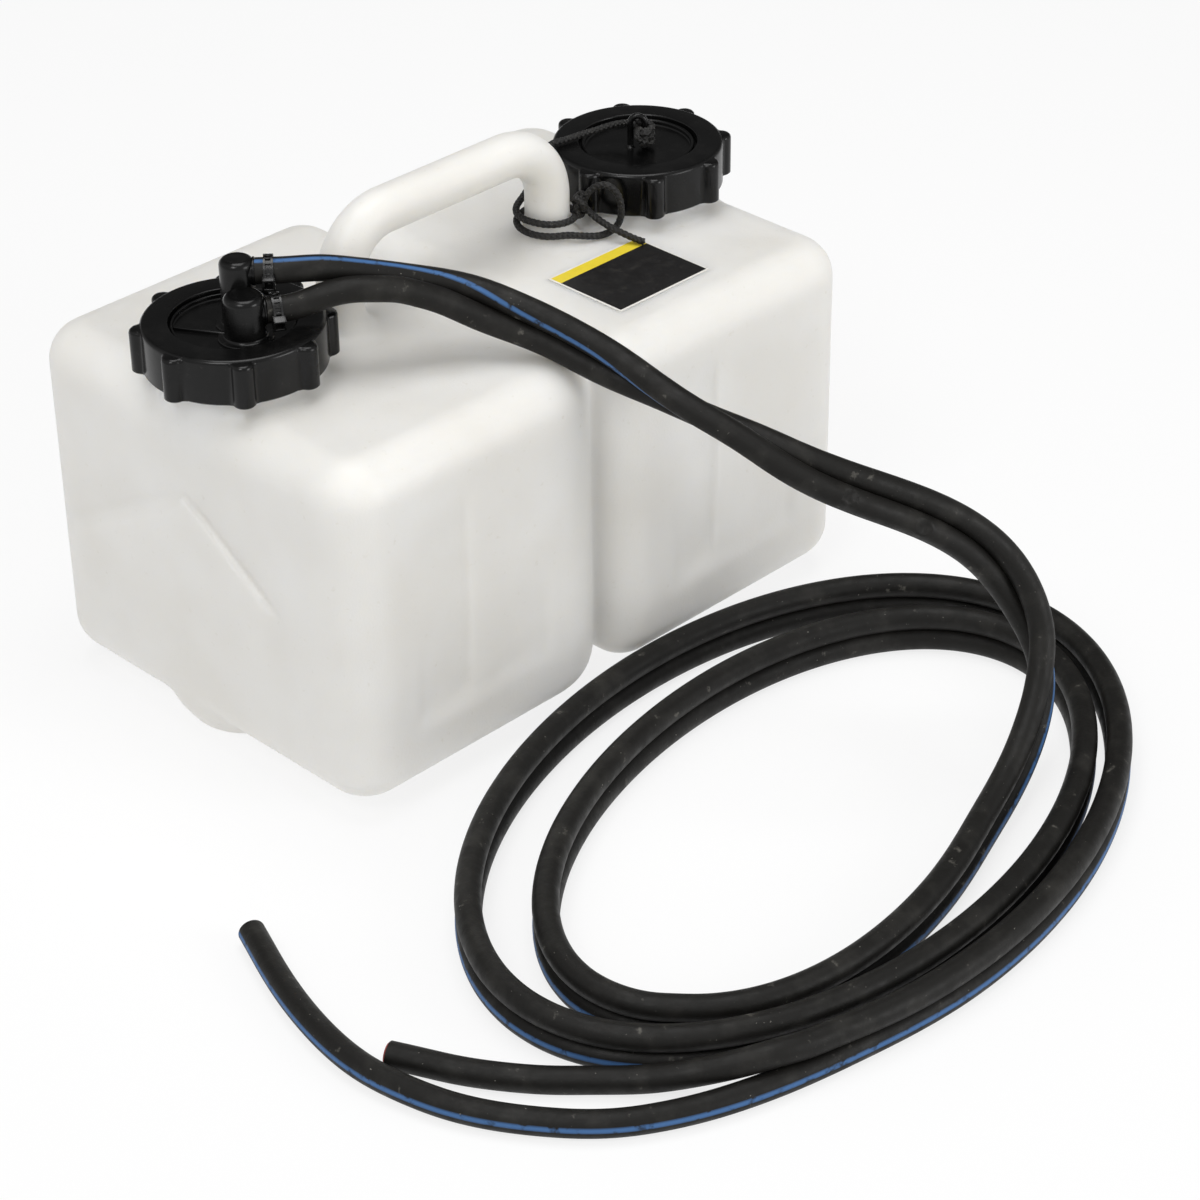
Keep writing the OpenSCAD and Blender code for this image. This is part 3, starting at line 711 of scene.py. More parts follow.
# Printed self-adhesive film: even colour with a slight gloss and rub marks
FILM = {
    "gloss": (Grain(8.0, 0.22, detail=5.0),),
    "relief": (Grain(14.0, 0.08, detail=1.0),),
    "sockets": (("Coat Weight", 0.1), ("Coat Roughness", 0.3), ("Specular IOR Level", 0.25)),
}
FILM_YELLOW = Finish("yellow_vinyl", "#e3cc3a", 0.34, (Grain(5.0, 0.3, "#c9b22e", 0.5, 0.8, 5.0),), **FILM)
FILM_BLACK = Finish("black_vinyl", "#1c1b1b", 0.34, (Grain(5.0, 0.35, "#45433f", 0.55, 0.8, 5.0),), **FILM)
FILM_WHITE = Finish("white_vinyl", "#e4e2dc", 0.34, (Grain(5.0, 0.3, "#c8c4b8", 0.5, 0.8, 5.0),), **FILM)
# Moulded nitrile ring: dull, near black
GASKET_RUBBER = Finish(
    "nitrile_gasket", "#1d1d1d", 0.55,
    patches=(Grain(3.0, 0.4, "#333231"),),
    gloss=(Grain(4.0, 0.2),),
    relief=(Grain(0.8, 0.03),),
)
# Stainless gauze: bright wire with dark gaps
GAUZE = WovenSteel(
    "stainless_gauze", "#a8a8a4", 0.35, gloss=(Grain(3.0, 0.2),), sockets=(("Metallic", 0.9),)
)


def ring_of_copies() -> Tree:
    """Builds the Geometry Nodes that set copies of a mesh round the Z axis, once.

    Returns:
        The node tree, with inputs Geometry, Count, Phase and Finish.
    """
    found = bpy.data.node_groups.get("ring_of_copies")
    if found is not None:
        return found
    tree = bpy.data.node_groups.new("ring_of_copies", "GeometryNodeTree")
    kinds = {"Geometry": "Geometry", "Count": "Int", "Phase": "Float", "Finish": "Material"}
    for name, kind in kinds.items():
        tree.interface.new_socket(name, in_out="INPUT", socket_type=f"NodeSocket{kind}")
    tree.interface.new_socket("Geometry", in_out="OUTPUT", socket_type="NodeSocketGeometry")
    given = add(tree, "NodeGroupInput").outputs
    line = add(tree, "GeometryNodeMeshLine", {"Count": given["Count"], "Offset": (0.0, 0.0, 0.0)})
    index = add(tree, "GeometryNodeInputIndex").outputs["Index"]
    share = add(tree, "ShaderNodeMath", {0: index, 1: given["Count"]}, operation="DIVIDE").outputs[0]
    turn = {0: share, 1: 2.0 * math.pi, 2: given["Phase"]}
    angle = add(tree, "ShaderNodeMath", turn, operation="MULTIPLY_ADD").outputs[0]
    about = add(tree, "ShaderNodeCombineXYZ", {"Z": angle}).outputs["Vector"]
    places = {"Points": line.outputs["Mesh"], "Instance": given["Geometry"], "Rotation": about}
    copies = add(tree, "GeometryNodeInstanceOnPoints", places).outputs["Instances"]
    real = add(tree, "GeometryNodeRealizeInstances", {"Geometry": copies}).outputs["Geometry"]
    dressed = add(tree, "GeometryNodeSetMaterial", {"Geometry": real, "Material": given["Finish"]})
    add(tree, "NodeGroupOutput", {"Geometry": dressed.outputs["Geometry"]})
    return tree


def grown(tree: Tree, seed: Shape, **inputs: object) -> Shape:
    """Runs a Geometry Nodes tree on a shape.

    Args:
        tree: The tree.
        seed: Shape that goes in.
        **inputs: Values of the tree's named inputs.

    Returns:
        The shape that comes out.
    """
    obj = placed("seed", seed.mesh("seed"))
    nodes = obj.modifiers.new("grow", "NODES")
    nodes.node_group = tree
    for item in tree.interface.items_tree:
        if item.in_out == "INPUT" and item.name in inputs:
            nodes[item.identifier] = inputs[item.name]
    graph = bpy.context.evaluated_depsgraph_get()
    mesh = bpy.data.meshes.new_from_object(obj.evaluated_get(graph))
    points = np.zeros(len(mesh.vertices) * 3)
    mesh.vertices.foreach_get("co", points)
    faces = [tuple(p.vertices) for p in mesh.polygons]
    bpy.data.meshes.remove(mesh)
    bpy.data.objects.remove(obj)
    return Shape(points.reshape(-1, 3) / MM, faces)


@dataclass(frozen=True)
class Lobe:
    """One rounded half of the tank, seen from above as a box with four corner radii.

    Attributes:
        start: Front end along X.
        end: Rear end along X.
        radii: Corner radii at start near, start far, end near and end far, near being the hose side.
    """

    start: float
    end: float
    radii: tuple[float, float, float, float]

    def distance(self, p: Grid, half_width: float, low: float, high: float, edge: float) -> Grid:
        """Signed distance from the lobe's surface.

        Args:
            p: Points, one to a row.
            half_width: Half of the lobe's width.
            low: Its underside.
            high: Its top.
            edge: Radius of its edges.

        Returns:
            The distance of each point, less than 0 inside.
        """
        x = p[:, 0] - (self.start + self.end) / 2.0
        y = p[:, 1]
        start_near, start_far, end_near, end_far = self.radii
        near = y < 0.0
        r = np.where(x < 0.0, np.where(near, start_near, start_far), np.where(near, end_near, end_far))
        plan = rounded(np.abs(x) - (self.end - self.start) / 2.0 + r, np.abs(y) - half_width + r, r)
        return rounded(plan + edge, np.abs(p[:, 2] - (low + high) / 2.0) - (high - low) / 2.0 + edge, edge)


@dataclass(frozen=True)
class Chevron:
    """Raised panel of the front wall, below two lines that fall away from a crest.

    Attributes:
        wall: X that the panel lies in front of.
        height: How far it stands out.
        crest: Height at which the two lines meet.
        near_fall: Fall of the crisp line towards the hose side.
        far_fall: Fall of the soft line towards the far side.
        near_soft: Height over which the near line fades.
        far_soft: Heights below and above the far line over which that one fades.
        across: Near and far end along Y.
        across_soft: Length over which the ends fade.
        rise: Heights between which the panel grows out of the wall.
    """

    wall: float = -150.0
    height: float = 3.6
    crest: float = 153.0
    near_fall: float = 0.66
    far_fall: float = 0.575
    near_soft: float = 3.0
    far_soft: tuple[float, float] = (12.0, 4.0)
    across: tuple[float, float] = (-54.0, 94.0)
    across_soft: float = 18.0
    rise: tuple[float, float] = (20.0, 120.0)

    def lift(self, p: Grid) -> Grid:
        """How far the panel stands out of the wall.

        Args:
            p: Points, one to a row.

        Returns:
            The lift at each point.
        """
        x, y, z = p[:, 0], p[:, 1], p[:, 2]
        near = y < 0.0
        line = np.where(near, self.crest + self.near_fall * y, self.crest - self.far_fall * y)
        below, above = self.far_soft
        over = np.where(near, ramp(z, line - self.near_soft, line), ramp(z, line - below, line + above))
        panel = (1.0 - over) * window(y, *self.across, self.across_soft)
        return np.where(x < self.wall, self.height * panel * ramp(z, *self.rise), 0.0)


@dataclass(frozen=True)
class WallPanel:
    """Shallow panel pressed into the hose side of one lobe, with a step at its rear and a ledge below.

    Attributes:
        start: Where the wall starts to sink, along X.
        step: Where it is deepest.
        end: Where it is back, behind the step.
        deep: Depth before the step.
        high: Heights between which the step is full.
        ledge: Ends of the ledge along X.
        ledge_deep: Depth of the ledge.
        ledge_rise: Heights over which the ledge's crisp lower edge sinks in.
        ledge_fade: Heights over which it fades upwards.
        step_soft: Height over which the step fades.
        ledge_soft: Length over which the ledge's ends fade.
        wall: Y that the panel lies in front of.
    """

    start: float
    step: float
    end: float
    deep: float
    high: tuple[float, float]
    ledge: tuple[float, float]
    ledge_deep: float = 1.5
    ledge_rise: tuple[float, float] = (42.0, 56.0)
    ledge_fade: tuple[float, float] = (60.0, 110.0)
    step_soft: float = 20.0
    ledge_soft: float = 10.0
    wall: float = -70.0

    def depth(self, p: Grid) -> Grid:
        """How far the wall is pressed in.

        Args:
            p: Points, one to a row.

        Returns:
            The depth at each point.
        """
        x, z = p[:, 0], p[:, 2]
        step = self.deep * ramp(x, self.start, self.step) * (1.0 - ramp(x, self.step, self.end))
        ledge = self.ledge_deep * window(x, *self.ledge, self.ledge_soft)
        ledge = ledge * ramp(z, *self.ledge_rise) * (1.0 - ramp(z, *self.ledge_fade))
        return np.where(p[:, 1] < self.wall, step * window(z, *self.high, self.step_soft) + ledge, 0.0)


@dataclass(frozen=True)
class Feet:
    """What the tank stands on: a keel along its middle, a round foot under the hose cap and four pads."""

    # Height that the feet reach inside the tank, and the radius of their edges
    top: float = 28.0
    soft: float = 2.5
    # Middles of the pads, either way, and their radius. The round foot has the same X
    x: float = 139.0
    pad_y: float = 80.5
    pad_r: float = 15.0
    # Round foot: its middle, its radius on the floor, and how much wider it is at the tank
    round_y: float = 13.0
    round_r: float = 31.0
    round_flare: float = 6.0
    # Keel: half its width on the floor, how much wider a side is at the tank, its ends and corners
    keel_half: float = 17.0
    keel_flare: float = 17.0
    keel_end: float = 160.0
    keel_corner: float = 10.0
    # Height at which the foot and the keel stop growing wider
    flare_top: float = 12.0

    def distance(self, p: Grid, underside: float) -> Grid:
        """Signed distance from the feet.

        Args:
            p: Points, one to a row.
            underside: Height of the tank's underside.

        Returns:
            The distance of each point, less than 0 inside.
        """
        x, y, z = p[:, 0], p[:, 1], p[:, 2]
        rise = np.clip(z, 0.0, self.flare_top) / underside
        lean = math.hypot(1.0, self.keel_flare / underside)
        side = (np.abs(y) - self.keel_half - self.keel_flare * rise) / lean + self.keel_corner
        keel = rounded(side, np.abs(x) - self.keel_end + self.keel_corner, self.keel_corner)
        pads = np.hypot(np.abs(x) - self.x, np.abs(y) - self.pad_y) - self.pad_r
        foot = np.hypot(x + self.x, y - self.round_y) - self.round_r - self.round_flare * rise
        plan = np.minimum(np.minimum(keel, pads), foot)
        middle = self.top / 2.0
        return rounded(plan + self.soft, np.abs(z - middle) - middle + self.soft, self.soft)


@dataclass(frozen=True)
class Moulding:
    """Blow-moulded tank with its handle, necks and feet in one skin."""

    # Tank: half of its length and width, its underside and top, and the radius of its edges
    half_length: float = 180.0
    half_width: float = 121.5
    low: float = 9.0
    high: float = 202.0
    edge: float = 21.0
    # Lobes, which overlap in the middle: ends there, corner radii, and fillet of the crease between them
    front_end: float = 8.0
    rear_start: float = 2.0
    front_radii: tuple[float, float, float, float] = (25.0, 25.0, 45.0, 22.0)
    rear_radii: tuple[float, float, float, float] = (22.0, 60.0, 25.0, 25.0)
    waist_soft: float = 9.0
    chevron: Chevron = Chevron()
    panels: tuple[WallPanel, ...] = (
        WallPanel(
            start=-150.0, step=-106.0, end=-100.0, deep=1.8, high=(62.0, 150.0), ledge=(-134.0, -54.0)
        ),
        WallPanel(start=34.0, step=74.0, end=78.0, deep=2.0, high=(64.0, 156.0), ledge=(48.0, 132.0)),
    )
    feet: Feet = Feet()
    # Necks: middle along X, either way, radius, wall, and how much narrower they are low in the end walls
    neck_x: float = 142.0
    neck_r: float = 39.5
    neck_wall: float = 6.5
    neck_taper: float = 3.0
    # Depths below the tank's top: where the necks narrow, and where they and their bores end
    taper: tuple[float, float] = (60.0, 20.0)
    neck_deep: float = 75.0
    bore_deep: float = 30.0
    rim: float = 222.0
    neck_fillet: float = 9.0
    # Handle: legs along X, either way, their depth below the tank's top, grip, bend and thickness
    leg_x: float = 73.0
    leg_deep: float = 15.0
    grip_z: float = 257.0
    bend: float = 31.0
    tube_r: float = 12.0
    handle_fillet: float = 14.0
    foot_fillet: float = 5.0
    # Grid that the skin is found on: its cell, and the room round and below the tank and above the handle
    step: float = 2.3
    room: tuple[float, float, float] = (8.0, 6.0, 5.0)
    room_above: float = 6.0

    def body(self, p: Grid) -> Grid:
        """Signed distance from the two lobes with their panels, and the crease of the waist between them.

        Args:
            p: Points, one to a row.

        Returns:
            The distance of each point, less than 0 inside.
        """
        sizes = (self.half_width, self.low, self.high, self.edge)
        front = Lobe(-self.half_length, self.front_end, self.front_radii).distance(p, *sizes)
        rear = Lobe(self.rear_start, self.half_length, self.rear_radii).distance(p, *sizes)
        lobes = smooth_min(front, rear, self.waist_soft)
        return lobes - (self.chevron.lift(p) - sum(panel.depth(p) for panel in self.panels))

    def handle(self, p: Grid) -> Grid:
        """Signed distance from the bent tube of the handle.

        Args:
            p: Points, one to a row.

        Returns:
            The distance of each point, less than 0 inside.
        """
        x, z = np.abs(p[:, 0]), p[:, 2]
        turn_x = self.leg_x - self.bend
        turn_z = self.grip_z - self.bend
        foot = self.high - self.leg_deep
        leg = np.hypot(x - self.leg_x, np.maximum(z - turn_z, 0.0) + np.minimum(z - foot, 0.0))
        grip = np.hypot(z - self.grip_z, np.maximum(x - turn_x, 0.0))
        turn = np.abs(np.hypot(x - turn_x, z - turn_z) - self.bend)
        flat = np.where((x > turn_x) & (z > turn_z), turn, np.minimum(leg, grip))
        return np.hypot(flat, p[:, 1]) - self.tube_r

    def distance(self, p: Grid) -> Grid:
        """Signed distance from the moulding's skin, with its necks open.

        Args:
            p: Points, one to a row.

        Returns:
            The distance of each point, less than 0 inside.
        """
        z = p[:, 2]
        reach = np.hypot(np.abs(p[:, 0]) - self.neck_x, p[:, 1])
        start, end = self.taper
        wide = self.neck_r - self.neck_taper * (1.0 - ramp(z, self.high - start, self.high - end))
        necks = np.maximum(reach - wide, np.maximum(z - self.rim, self.high - self.neck_deep - z))
        d = smooth_min(self.body(p), self.feet.distance(p, self.low), self.foot_fillet)
        d = smooth_min(d, necks, self.neck_fillet)
        d = smooth_min(d, self.handle(p), self.handle_fillet)
        bore = reach - (self.neck_r - self.neck_wall)
        return np.maximum(d, -np.maximum(bore, self.high - self.bore_deep - z))

    def settle(self, p: Grid) -> Grid:
        """Moves points straight onto the skin.

        Args:
            p: Points near the skin, one to a row.

        Returns:
            The points on it.
        """
        reach, rounds, least = 0.2, 3, 0.25
        for _ in range(rounds):
            ends = [(self.distance(p + reach * axis), self.distance(p - reach * axis)) for axis in np.eye(3)]
            slope = np.stack([ahead - behind for ahead, behind in ends], 1) / (2.0 * reach)
            p = p - slope * (self.distance(p) / np.maximum((slope**2).sum(1), least))[:, None]
        return p

    def skin(self) -> Shape:
        """Meshes the skin with one vertex in each cell of a grid that it passes through.

        Returns:
            The skin.
        """
        side, across, below = self.room
        low = (-self.half_length - side, -self.half_width - across, -below)
        top = self.grip_z + self.tube_r + self.room_above
        high = (self.half_length + side, self.half_width + across, top)
        axes = [np.arange(a, b + self.step, self.step) for a, b in zip(low, high)]
        where = np.stack(np.meshgrid(*axes, indexing="ij"), -1)
        shape = where.shape[:3]
        field = self.distance(where.reshape(-1, 3)).reshape(shape)
        inside = field < 0.0
        corners = sum(
            inside[i : shape[0] - 1 + i, j : shape[1] - 1 + j, k : shape[2] - 1 + k].astype(np.int8)
            for i, j, k in itertools.product((0, 1), repeat=3)
        )
        active = (corners > 0) & (corners < 8)
        number = np.full(active.shape, -1)
        number[active] = np.arange(int(active.sum()))
        cells = np.argwhere(active)
        total, hits = np.zeros((len(cells), 3)), np.zeros((len(cells), 1))
        for axis, i, j in itertools.product(range(3), (0, 1), (0, 1)):
            near = np.insert((i, j), axis, 0)
            far = np.insert((i, j), axis, 1)
            a, b = field[tuple((cells + near).T)], field[tuple((cells + far).T)]
            cross = ((a < 0.0) != (b < 0.0))[:, None]
            share = (a / np.where(a == b, 1.0, a - b))[:, None]
            total += np.where(cross, near + share * (far - near), 0.0)
            hits += cross
        points = self.settle(np.array(low) + (cells + total / hits) * self.step)
        faces: list[tuple[int, ...]] = []
        for axis in range(3):
            a = np.moveaxis(inside, axis, 0)
            n = np.moveaxis(number, axis, 0)
            cross = a[:-1, 1:-1, 1:-1] != a[1:, 1:-1, 1:-1]
            i, j, k = np.nonzero(cross)
            quad = np.stack((n[i, j, k], n[i, j + 1, k], n[i, j + 1, k + 1], n[i, j, k + 1]), 1)
            turned = a[:-1, 1:-1, 1:-1][cross] != (axis == 1)
            quad[~turned] = quad[~turned][:, ::-1]
            faces.extend(map(tuple, quad.tolist()))
        return Shape(points, faces)

    def build(self) -> Object:
        """Makes the tank and its handle, with no crisp edge."""
        nodes = ("tank_shell", "carry_handle")
        return piece("tank_moulding", self.skin(), (TANK_WHITE,), Body.TANK, nodes, sharp=180.0)


@dataclass(frozen=True)
class ScrewCap:
    """Screw collar and the plate that it clamps, about one neck."""

    # Which cap, the middle of its neck along X, and the bodies of its plate and its collar
    name: str
    x: float
    insert: Body
    ring: Body
    # Collar: lower end and top, radius outside and inside, hole in its top, and underside of the top
    low: float = 210.0
    top: float = 234.0
    radius: float = 46.0
    bore: float = 40.2
    mouth: float = 32.0
    lip: float = 230.0
    # Collar's edges: low inside, low outside, top outside, top at the hole, and under the hole
    low_soft: float = 0.6
    edge_soft: float = 0.8
    top_soft: float = 2.4
    mouth_soft: float = 0.9
    lip_soft: float = 0.7
    # Finger lugs: their number, the heading of the first in degrees, radius and distance from the axis
    lugs: int = 8
    phase: float = 10.0
    lug_r: float = 5.6
    lug_at: float = 45.6
    # Lug's fillet, rounded top edge, drop below the collar's top and depth in the collar
    lug_flare: float = 3.0
    lug_soft: float = 2.2
    lug_drop: float = 0.9
    lug_root: float = 3.0
    # Plate: its underside and upper face, radius and edge
    plate_low: float = 224.2
    plate_top: float = 229.7
    plate_r: float = 38.0
    plate_soft: float = 0.5
    # Raised bead on the plate: radius, half width, height where it starts to round, and inner fillet
    bead_r: float = 29.5
    bead_half: float = 1.0
    bead_high: float = 1.9
    bead_fillet: float = 0.6
    # Steps round the collar and the plate
    sides: int = 128
    plate_sides: int = 112

    def lug_plan(self) -> Grid:
        """Outline of one finger lug, seen from above, with its fillets and its root inside the collar.

        Returns:
            Points of the outline, one to a row.
        """
        middle, flare = self.lug_at, self.lug_flare
        out = self.radius + flare
        swing = math.acos(min(1.0, (middle**2 + out**2 - (self.lug_r + flare) ** 2) / (2.0 * middle * out)))
        hollow = (out * math.cos(swing), out * math.sin(swing))
        to_lug = math.degrees(math.atan2(-hollow[1], middle - hollow[0])) % 360.0
        to_ring = math.degrees(math.atan2(-hollow[1], -hollow[0])) % 360.0
        fillet = arc(hollow, flare, to_ring, to_lug, 6)
        join = math.degrees(math.atan2(hollow[1], hollow[0] - middle))
        outline = [(x, -y) for x, y in fillet]
        outline += arc((middle, 0.0), self.lug_r, -join, join, 20)[1:-1] + fillet[::-1]
        root, side = self.radius - self.lug_root, fillet[0][1]
        return np.array([*outline, (root, side), (root, -side)])

    def lug(self) -> Shape:
        """Makes one finger lug with a softened top.

        Returns:
            The lug, on the X axis.
        """
        soft, core_deep, foot_gap = self.lug_soft, 2.0, 0.2
        plan = self.lug_plan()
        core = np.array((self.radius - core_deep, 0.0))
        shoulder = self.top - self.lug_drop - soft
        levels = [(self.low + foot_gap, self.low_soft), (self.low + self.edge_soft, 0.0), (shoulder, 0.0)]
        for a in np.radians((30, 60, 90)):
            levels.append((shoulder + soft * math.sin(a), soft * (1.0 - math.cos(a))))
        out = plan - core
        far = np.linalg.norm(out, axis=1, keepdims=True)
        rings = []
        for z, inset in levels:
            level = core + out * np.maximum(far - inset, 0.0) / far
            rings.append(np.column_stack((level, np.full(len(level), z))))
        return loft(np.array(rings))

    def collar(self) -> Object:
        """Makes the collar with its lugs.

        Returns:
            The collar.
        """
        low, top, radius, mouth, bore = self.low, self.top, self.radius, self.mouth, self.bore
        soft, edge, foot = self.mouth_soft, self.top_soft, self.edge_soft
        profile = [(mouth + self.lip_soft, self.lip), (bore, self.lip), (bore, low + self.low_soft)]
        profile += [(bore + self.low_soft, low), (radius - foot, low), (radius, low + foot)]
        profile += [(radius, top - edge), *arc((radius - edge, top - edge), edge, 15, 90, 6)]
        profile += [(mouth + soft, top), *arc((mouth + soft, top - soft), soft, 110, 180, 4)]
        profile += [(mouth, self.lip + self.lip_soft)]
        ring = lathe(profile[::-1], self.sides, closed=True)
        ring.faces = [face[::-1] for face in ring.faces]
        phase = math.radians(self.phase)
        lugs = grown(ring_of_copies(), self.lug(), Count=self.lugs, Phase=phase, Finish=CAP_BLACK.material())
        shape = Shape.joined((ring, lugs)).at(self.x, 0.0, 0.0)
        name = f"{self.name}_collar"
        return piece(f"{name}_skin", shape, (CAP_BLACK,), self.ring, (name,))

    def plate(self, fittings: Sequence[Shape]) -> Object:
        """Makes the plate.

        Args:
            fittings: What stands on it, in place.

        Returns:
            The plate: a disc with a raised bead, and its fittings.
        """
        r, low, top, soft = self.plate_r, self.plate_low, self.plate_top, self.plate_soft
        outer, inner = self.bead_r + self.bead_half, self.bead_r - self.bead_half
        profile = [(AXIS, low), (r - soft, low), (r, low + soft), (r, top - soft), (r - soft, top)]
        profile += [(outer, top), *arc((self.bead_r, top + self.bead_high), self.bead_half, 0, 180, 8)]
        profile += [(inner, top + self.bead_fillet), (inner - self.bead_fillet, top), (AXIS, top)]
        shape = Shape.joined((lathe(profile, self.plate_sides).at(self.x, 0.0, 0.0), *fittings))
        name = f"{self.name}_plate"
        return piece(f"{name}_skin", shape, (CAP_BLACK,), self.insert, (name,))

    def build(self) -> list[Object]:
        """Makes the collar and the plate."""
        return [self.collar(), self.plate(self.fittings())]

    def fittings(self) -> list[Shape]:
        """What stands on the plate, which is nothing on a plain cap."""
        return []


@dataclass(frozen=True)
class Tower:
    """Round tower on the hose plate with a barb out of its side.

    Attributes:
        name: Which hose it carries.
        x: Middle along X.
        y: Middle along Y.
        radius: Its radius.
        axis_z: Height of the barb.
        turn: Heading of the barb in degrees.
        cap: Height of its top above the barb's middle.
        head_turn: Turn of the hose tie's head round the barb in degrees.
        tie_at: Middle of the hose tie along the barb.
        foot: How much wider its foot is.
        foot_high: Height of the foot.
        fillet: Fillet between foot and tower.
        crown: Rounding of its top.
        barb_length: Length of the barb from the tower's middle.
        barb_r: Radius of the barb.
        barb_ridge: Radius of the ridges on it.
        ridges: Outer ends of the ridges along the barb.
        ridge: Length of a ridge.
        flange: Radius of the flange at the barb's root.
        flange_back: How far the flange starts inside the tower.
        flange_out: How far it stands out of the tower.
        soft: Chamfer of the flange's edge.
        groove: Depth of the groove round the tower's top.
        sides: Steps round the tower.
        barb_sides: Steps round the barb.
    """

    name: str
    x: float
    y: float
    radius: float
    axis_z: float
    turn: float
    cap: float
    head_turn: float
    tie_at: float = 15.5
    foot: float = 3.6
    foot_high: float = 1.2
    fillet: float = 1.6
    crown: float = 3.6
    barb_length: float = 24.0
    barb_r: float = 3.4
    barb_ridge: float = 3.9
    ridges: tuple[float, ...] = (12.0, 17.0, 22.0)
    ridge: float = 3.0
    flange: float = 7.1
    flange_back: float = 1.2
    flange_out: float = 0.1
    soft: float = 0.3
    groove: float = 0.3
    sides: int = 64
    barb_sides: int = 40

    def at(self, s: float) -> Grid:
        """Point on the barb's axis, s from the tower's middle."""
        return np.array((self.x, self.y, self.axis_z)) + s * heading(self.turn)

    def frame_at(self, s: float) -> Matrix:
        """Finds a frame on the barb.

        Args:
            s: Distance along the barb from the tower's middle.

        Returns:
            Matrix whose Z axis runs along the barb, with its Y axis up.
        """
        along, up = Vector(heading(self.turn)), Vector(UP)
        turn = Matrix((up.cross(along), up, along)).transposed().to_4x4()
        return Matrix.Translation(Vector(self.at(s))) @ turn

    def shape(self, floor: float) -> Shape:
        """Makes the tower with its foot, its rounded top, and its barb with a flange at the root.

        Args:
            floor: Height of the plate that it stands on.

        Returns:
            The tower in place.
        """
        r, top, step, crown = self.radius, self.axis_z + self.cap, floor + self.foot_high, self.crown
        # Small sizes of the foot, of the groove in the top, and of the barb and its flange
        sunk, slope, bevel = 0.6, 0.1, 0.4
        groove_at, groove_wide = 0.5, 0.6
        rise, lip, root = 0.2, 0.5, 2.0
        wide, neck, edge = r + self.foot, r + self.fillet, step - slope
        profile = [(wide, floor - sunk), (wide, edge - bevel), (wide - bevel, edge), (neck, step)]
        for a in np.radians((30, 60, 90)):
            profile.append((neck - self.fillet * math.sin(a), step + self.fillet * (1.0 - math.cos(a))))
        profile += arc((r - crown, top - crown), crown, 0, 80, 8)
        ring, dip = r - crown - groove_at, top - self.groove
        profile += [(ring, dip), (ring - groove_wide, dip), (AXIS, top - slope)]
        barb = [(self.barb_r, 0.0)]
        for end in self.ridges:
            start = end - self.ridge
            barb += [(self.barb_r, start), (self.barb_ridge, start + rise), (self.barb_r, end)]
        barb += [(self.barb_r - rise, self.barb_length), (AXIS, self.barb_length)]
        wide, soft, back, front = self.flange, self.soft, r - self.flange_back, r + self.flange_out
        flange = [(wide - lip, root), (wide - lip, back), (wide, back + soft), (wide, front - soft)]
        flange += [(wide - soft, front), (AXIS, front)]
        parts = [lathe(line, self.barb_sides).moved(self.frame_at(0.0)) for line in (barb, flange)]
        return Shape.joined((lathe(profile, self.sides).at(self.x, self.y, 0.0), *parts))


PRESSURE_TOWER = Tower(
    "pressure", x=-138.2, y=-0.8, radius=8.7, axis_z=258.0, turn=-42.0, cap=7.5, head_turn=196.0
)
OIL_TOWER = Tower("oil", x=-146.0, y=-14.0, radius=10.2, axis_z=243.0, turn=-30.0, cap=10.3, head_turn=205.0)


@dataclass(frozen=True)
class PickupCap(ScrewCap):
    """Cap that carries the two hose towers.

    Attributes:
        rib: Sides of the rib that runs away from the oil tower.
        rib_turn: Heading of the rib in degrees.
        rib_at: Distance of its middle from the oil tower's.
        rib_soft: Radius of its edges.
        web: Sides of the web that joins the towers.
        web_place: Middle of the web along X and Y, and its height above the plate.
        web_turn: Heading of the web in degrees.
        web_soft: Radius of its edges.
    """

    bead_r: float = 30.4
    bead_half: float = 0.7
    bead_fillet: float = 0.5
    rib: tuple[float, float, float] = (30.0, 2.4, 3.4)
    rib_turn: float = 120.0
    rib_at: float = 23.0
    rib_soft: float = 0.7
    web: tuple[float, float, float] = (8.0, 9.0, 14.0)
    web_place: tuple[float, float, float] = (-143.0, -6.5, 6.0)
    web_turn: float = 68.0
    web_soft: float = 1.2

    def fittings(self) -> list[Shape]:
        """Makes what stands on the plate.

        Returns:
            The two towers, the rib and the web.
        """
        top = self.plate_top
        made = [tower.shape(top) for tower in (PRESSURE_TOWER, OIL_TOWER)]
        rib_x, rib_y, _ = OIL_TOWER.at(0.0) + self.rib_at * heading(self.rib_turn)
        web_x, web_y, web_z = self.web_place
        bars = (
            (self.rib, self.rib_soft, self.rib_turn, (rib_x, rib_y, top)),
            (self.web, self.web_soft, self.web_turn, (web_x, web_y, top + web_z)),
        )
        for size, soft, turn, place in bars:
            bar = rounded_box(size, soft).moved(Matrix.Rotation(math.radians(turn), 4, "Z"))
            made.append(bar.at(*place))
        return made


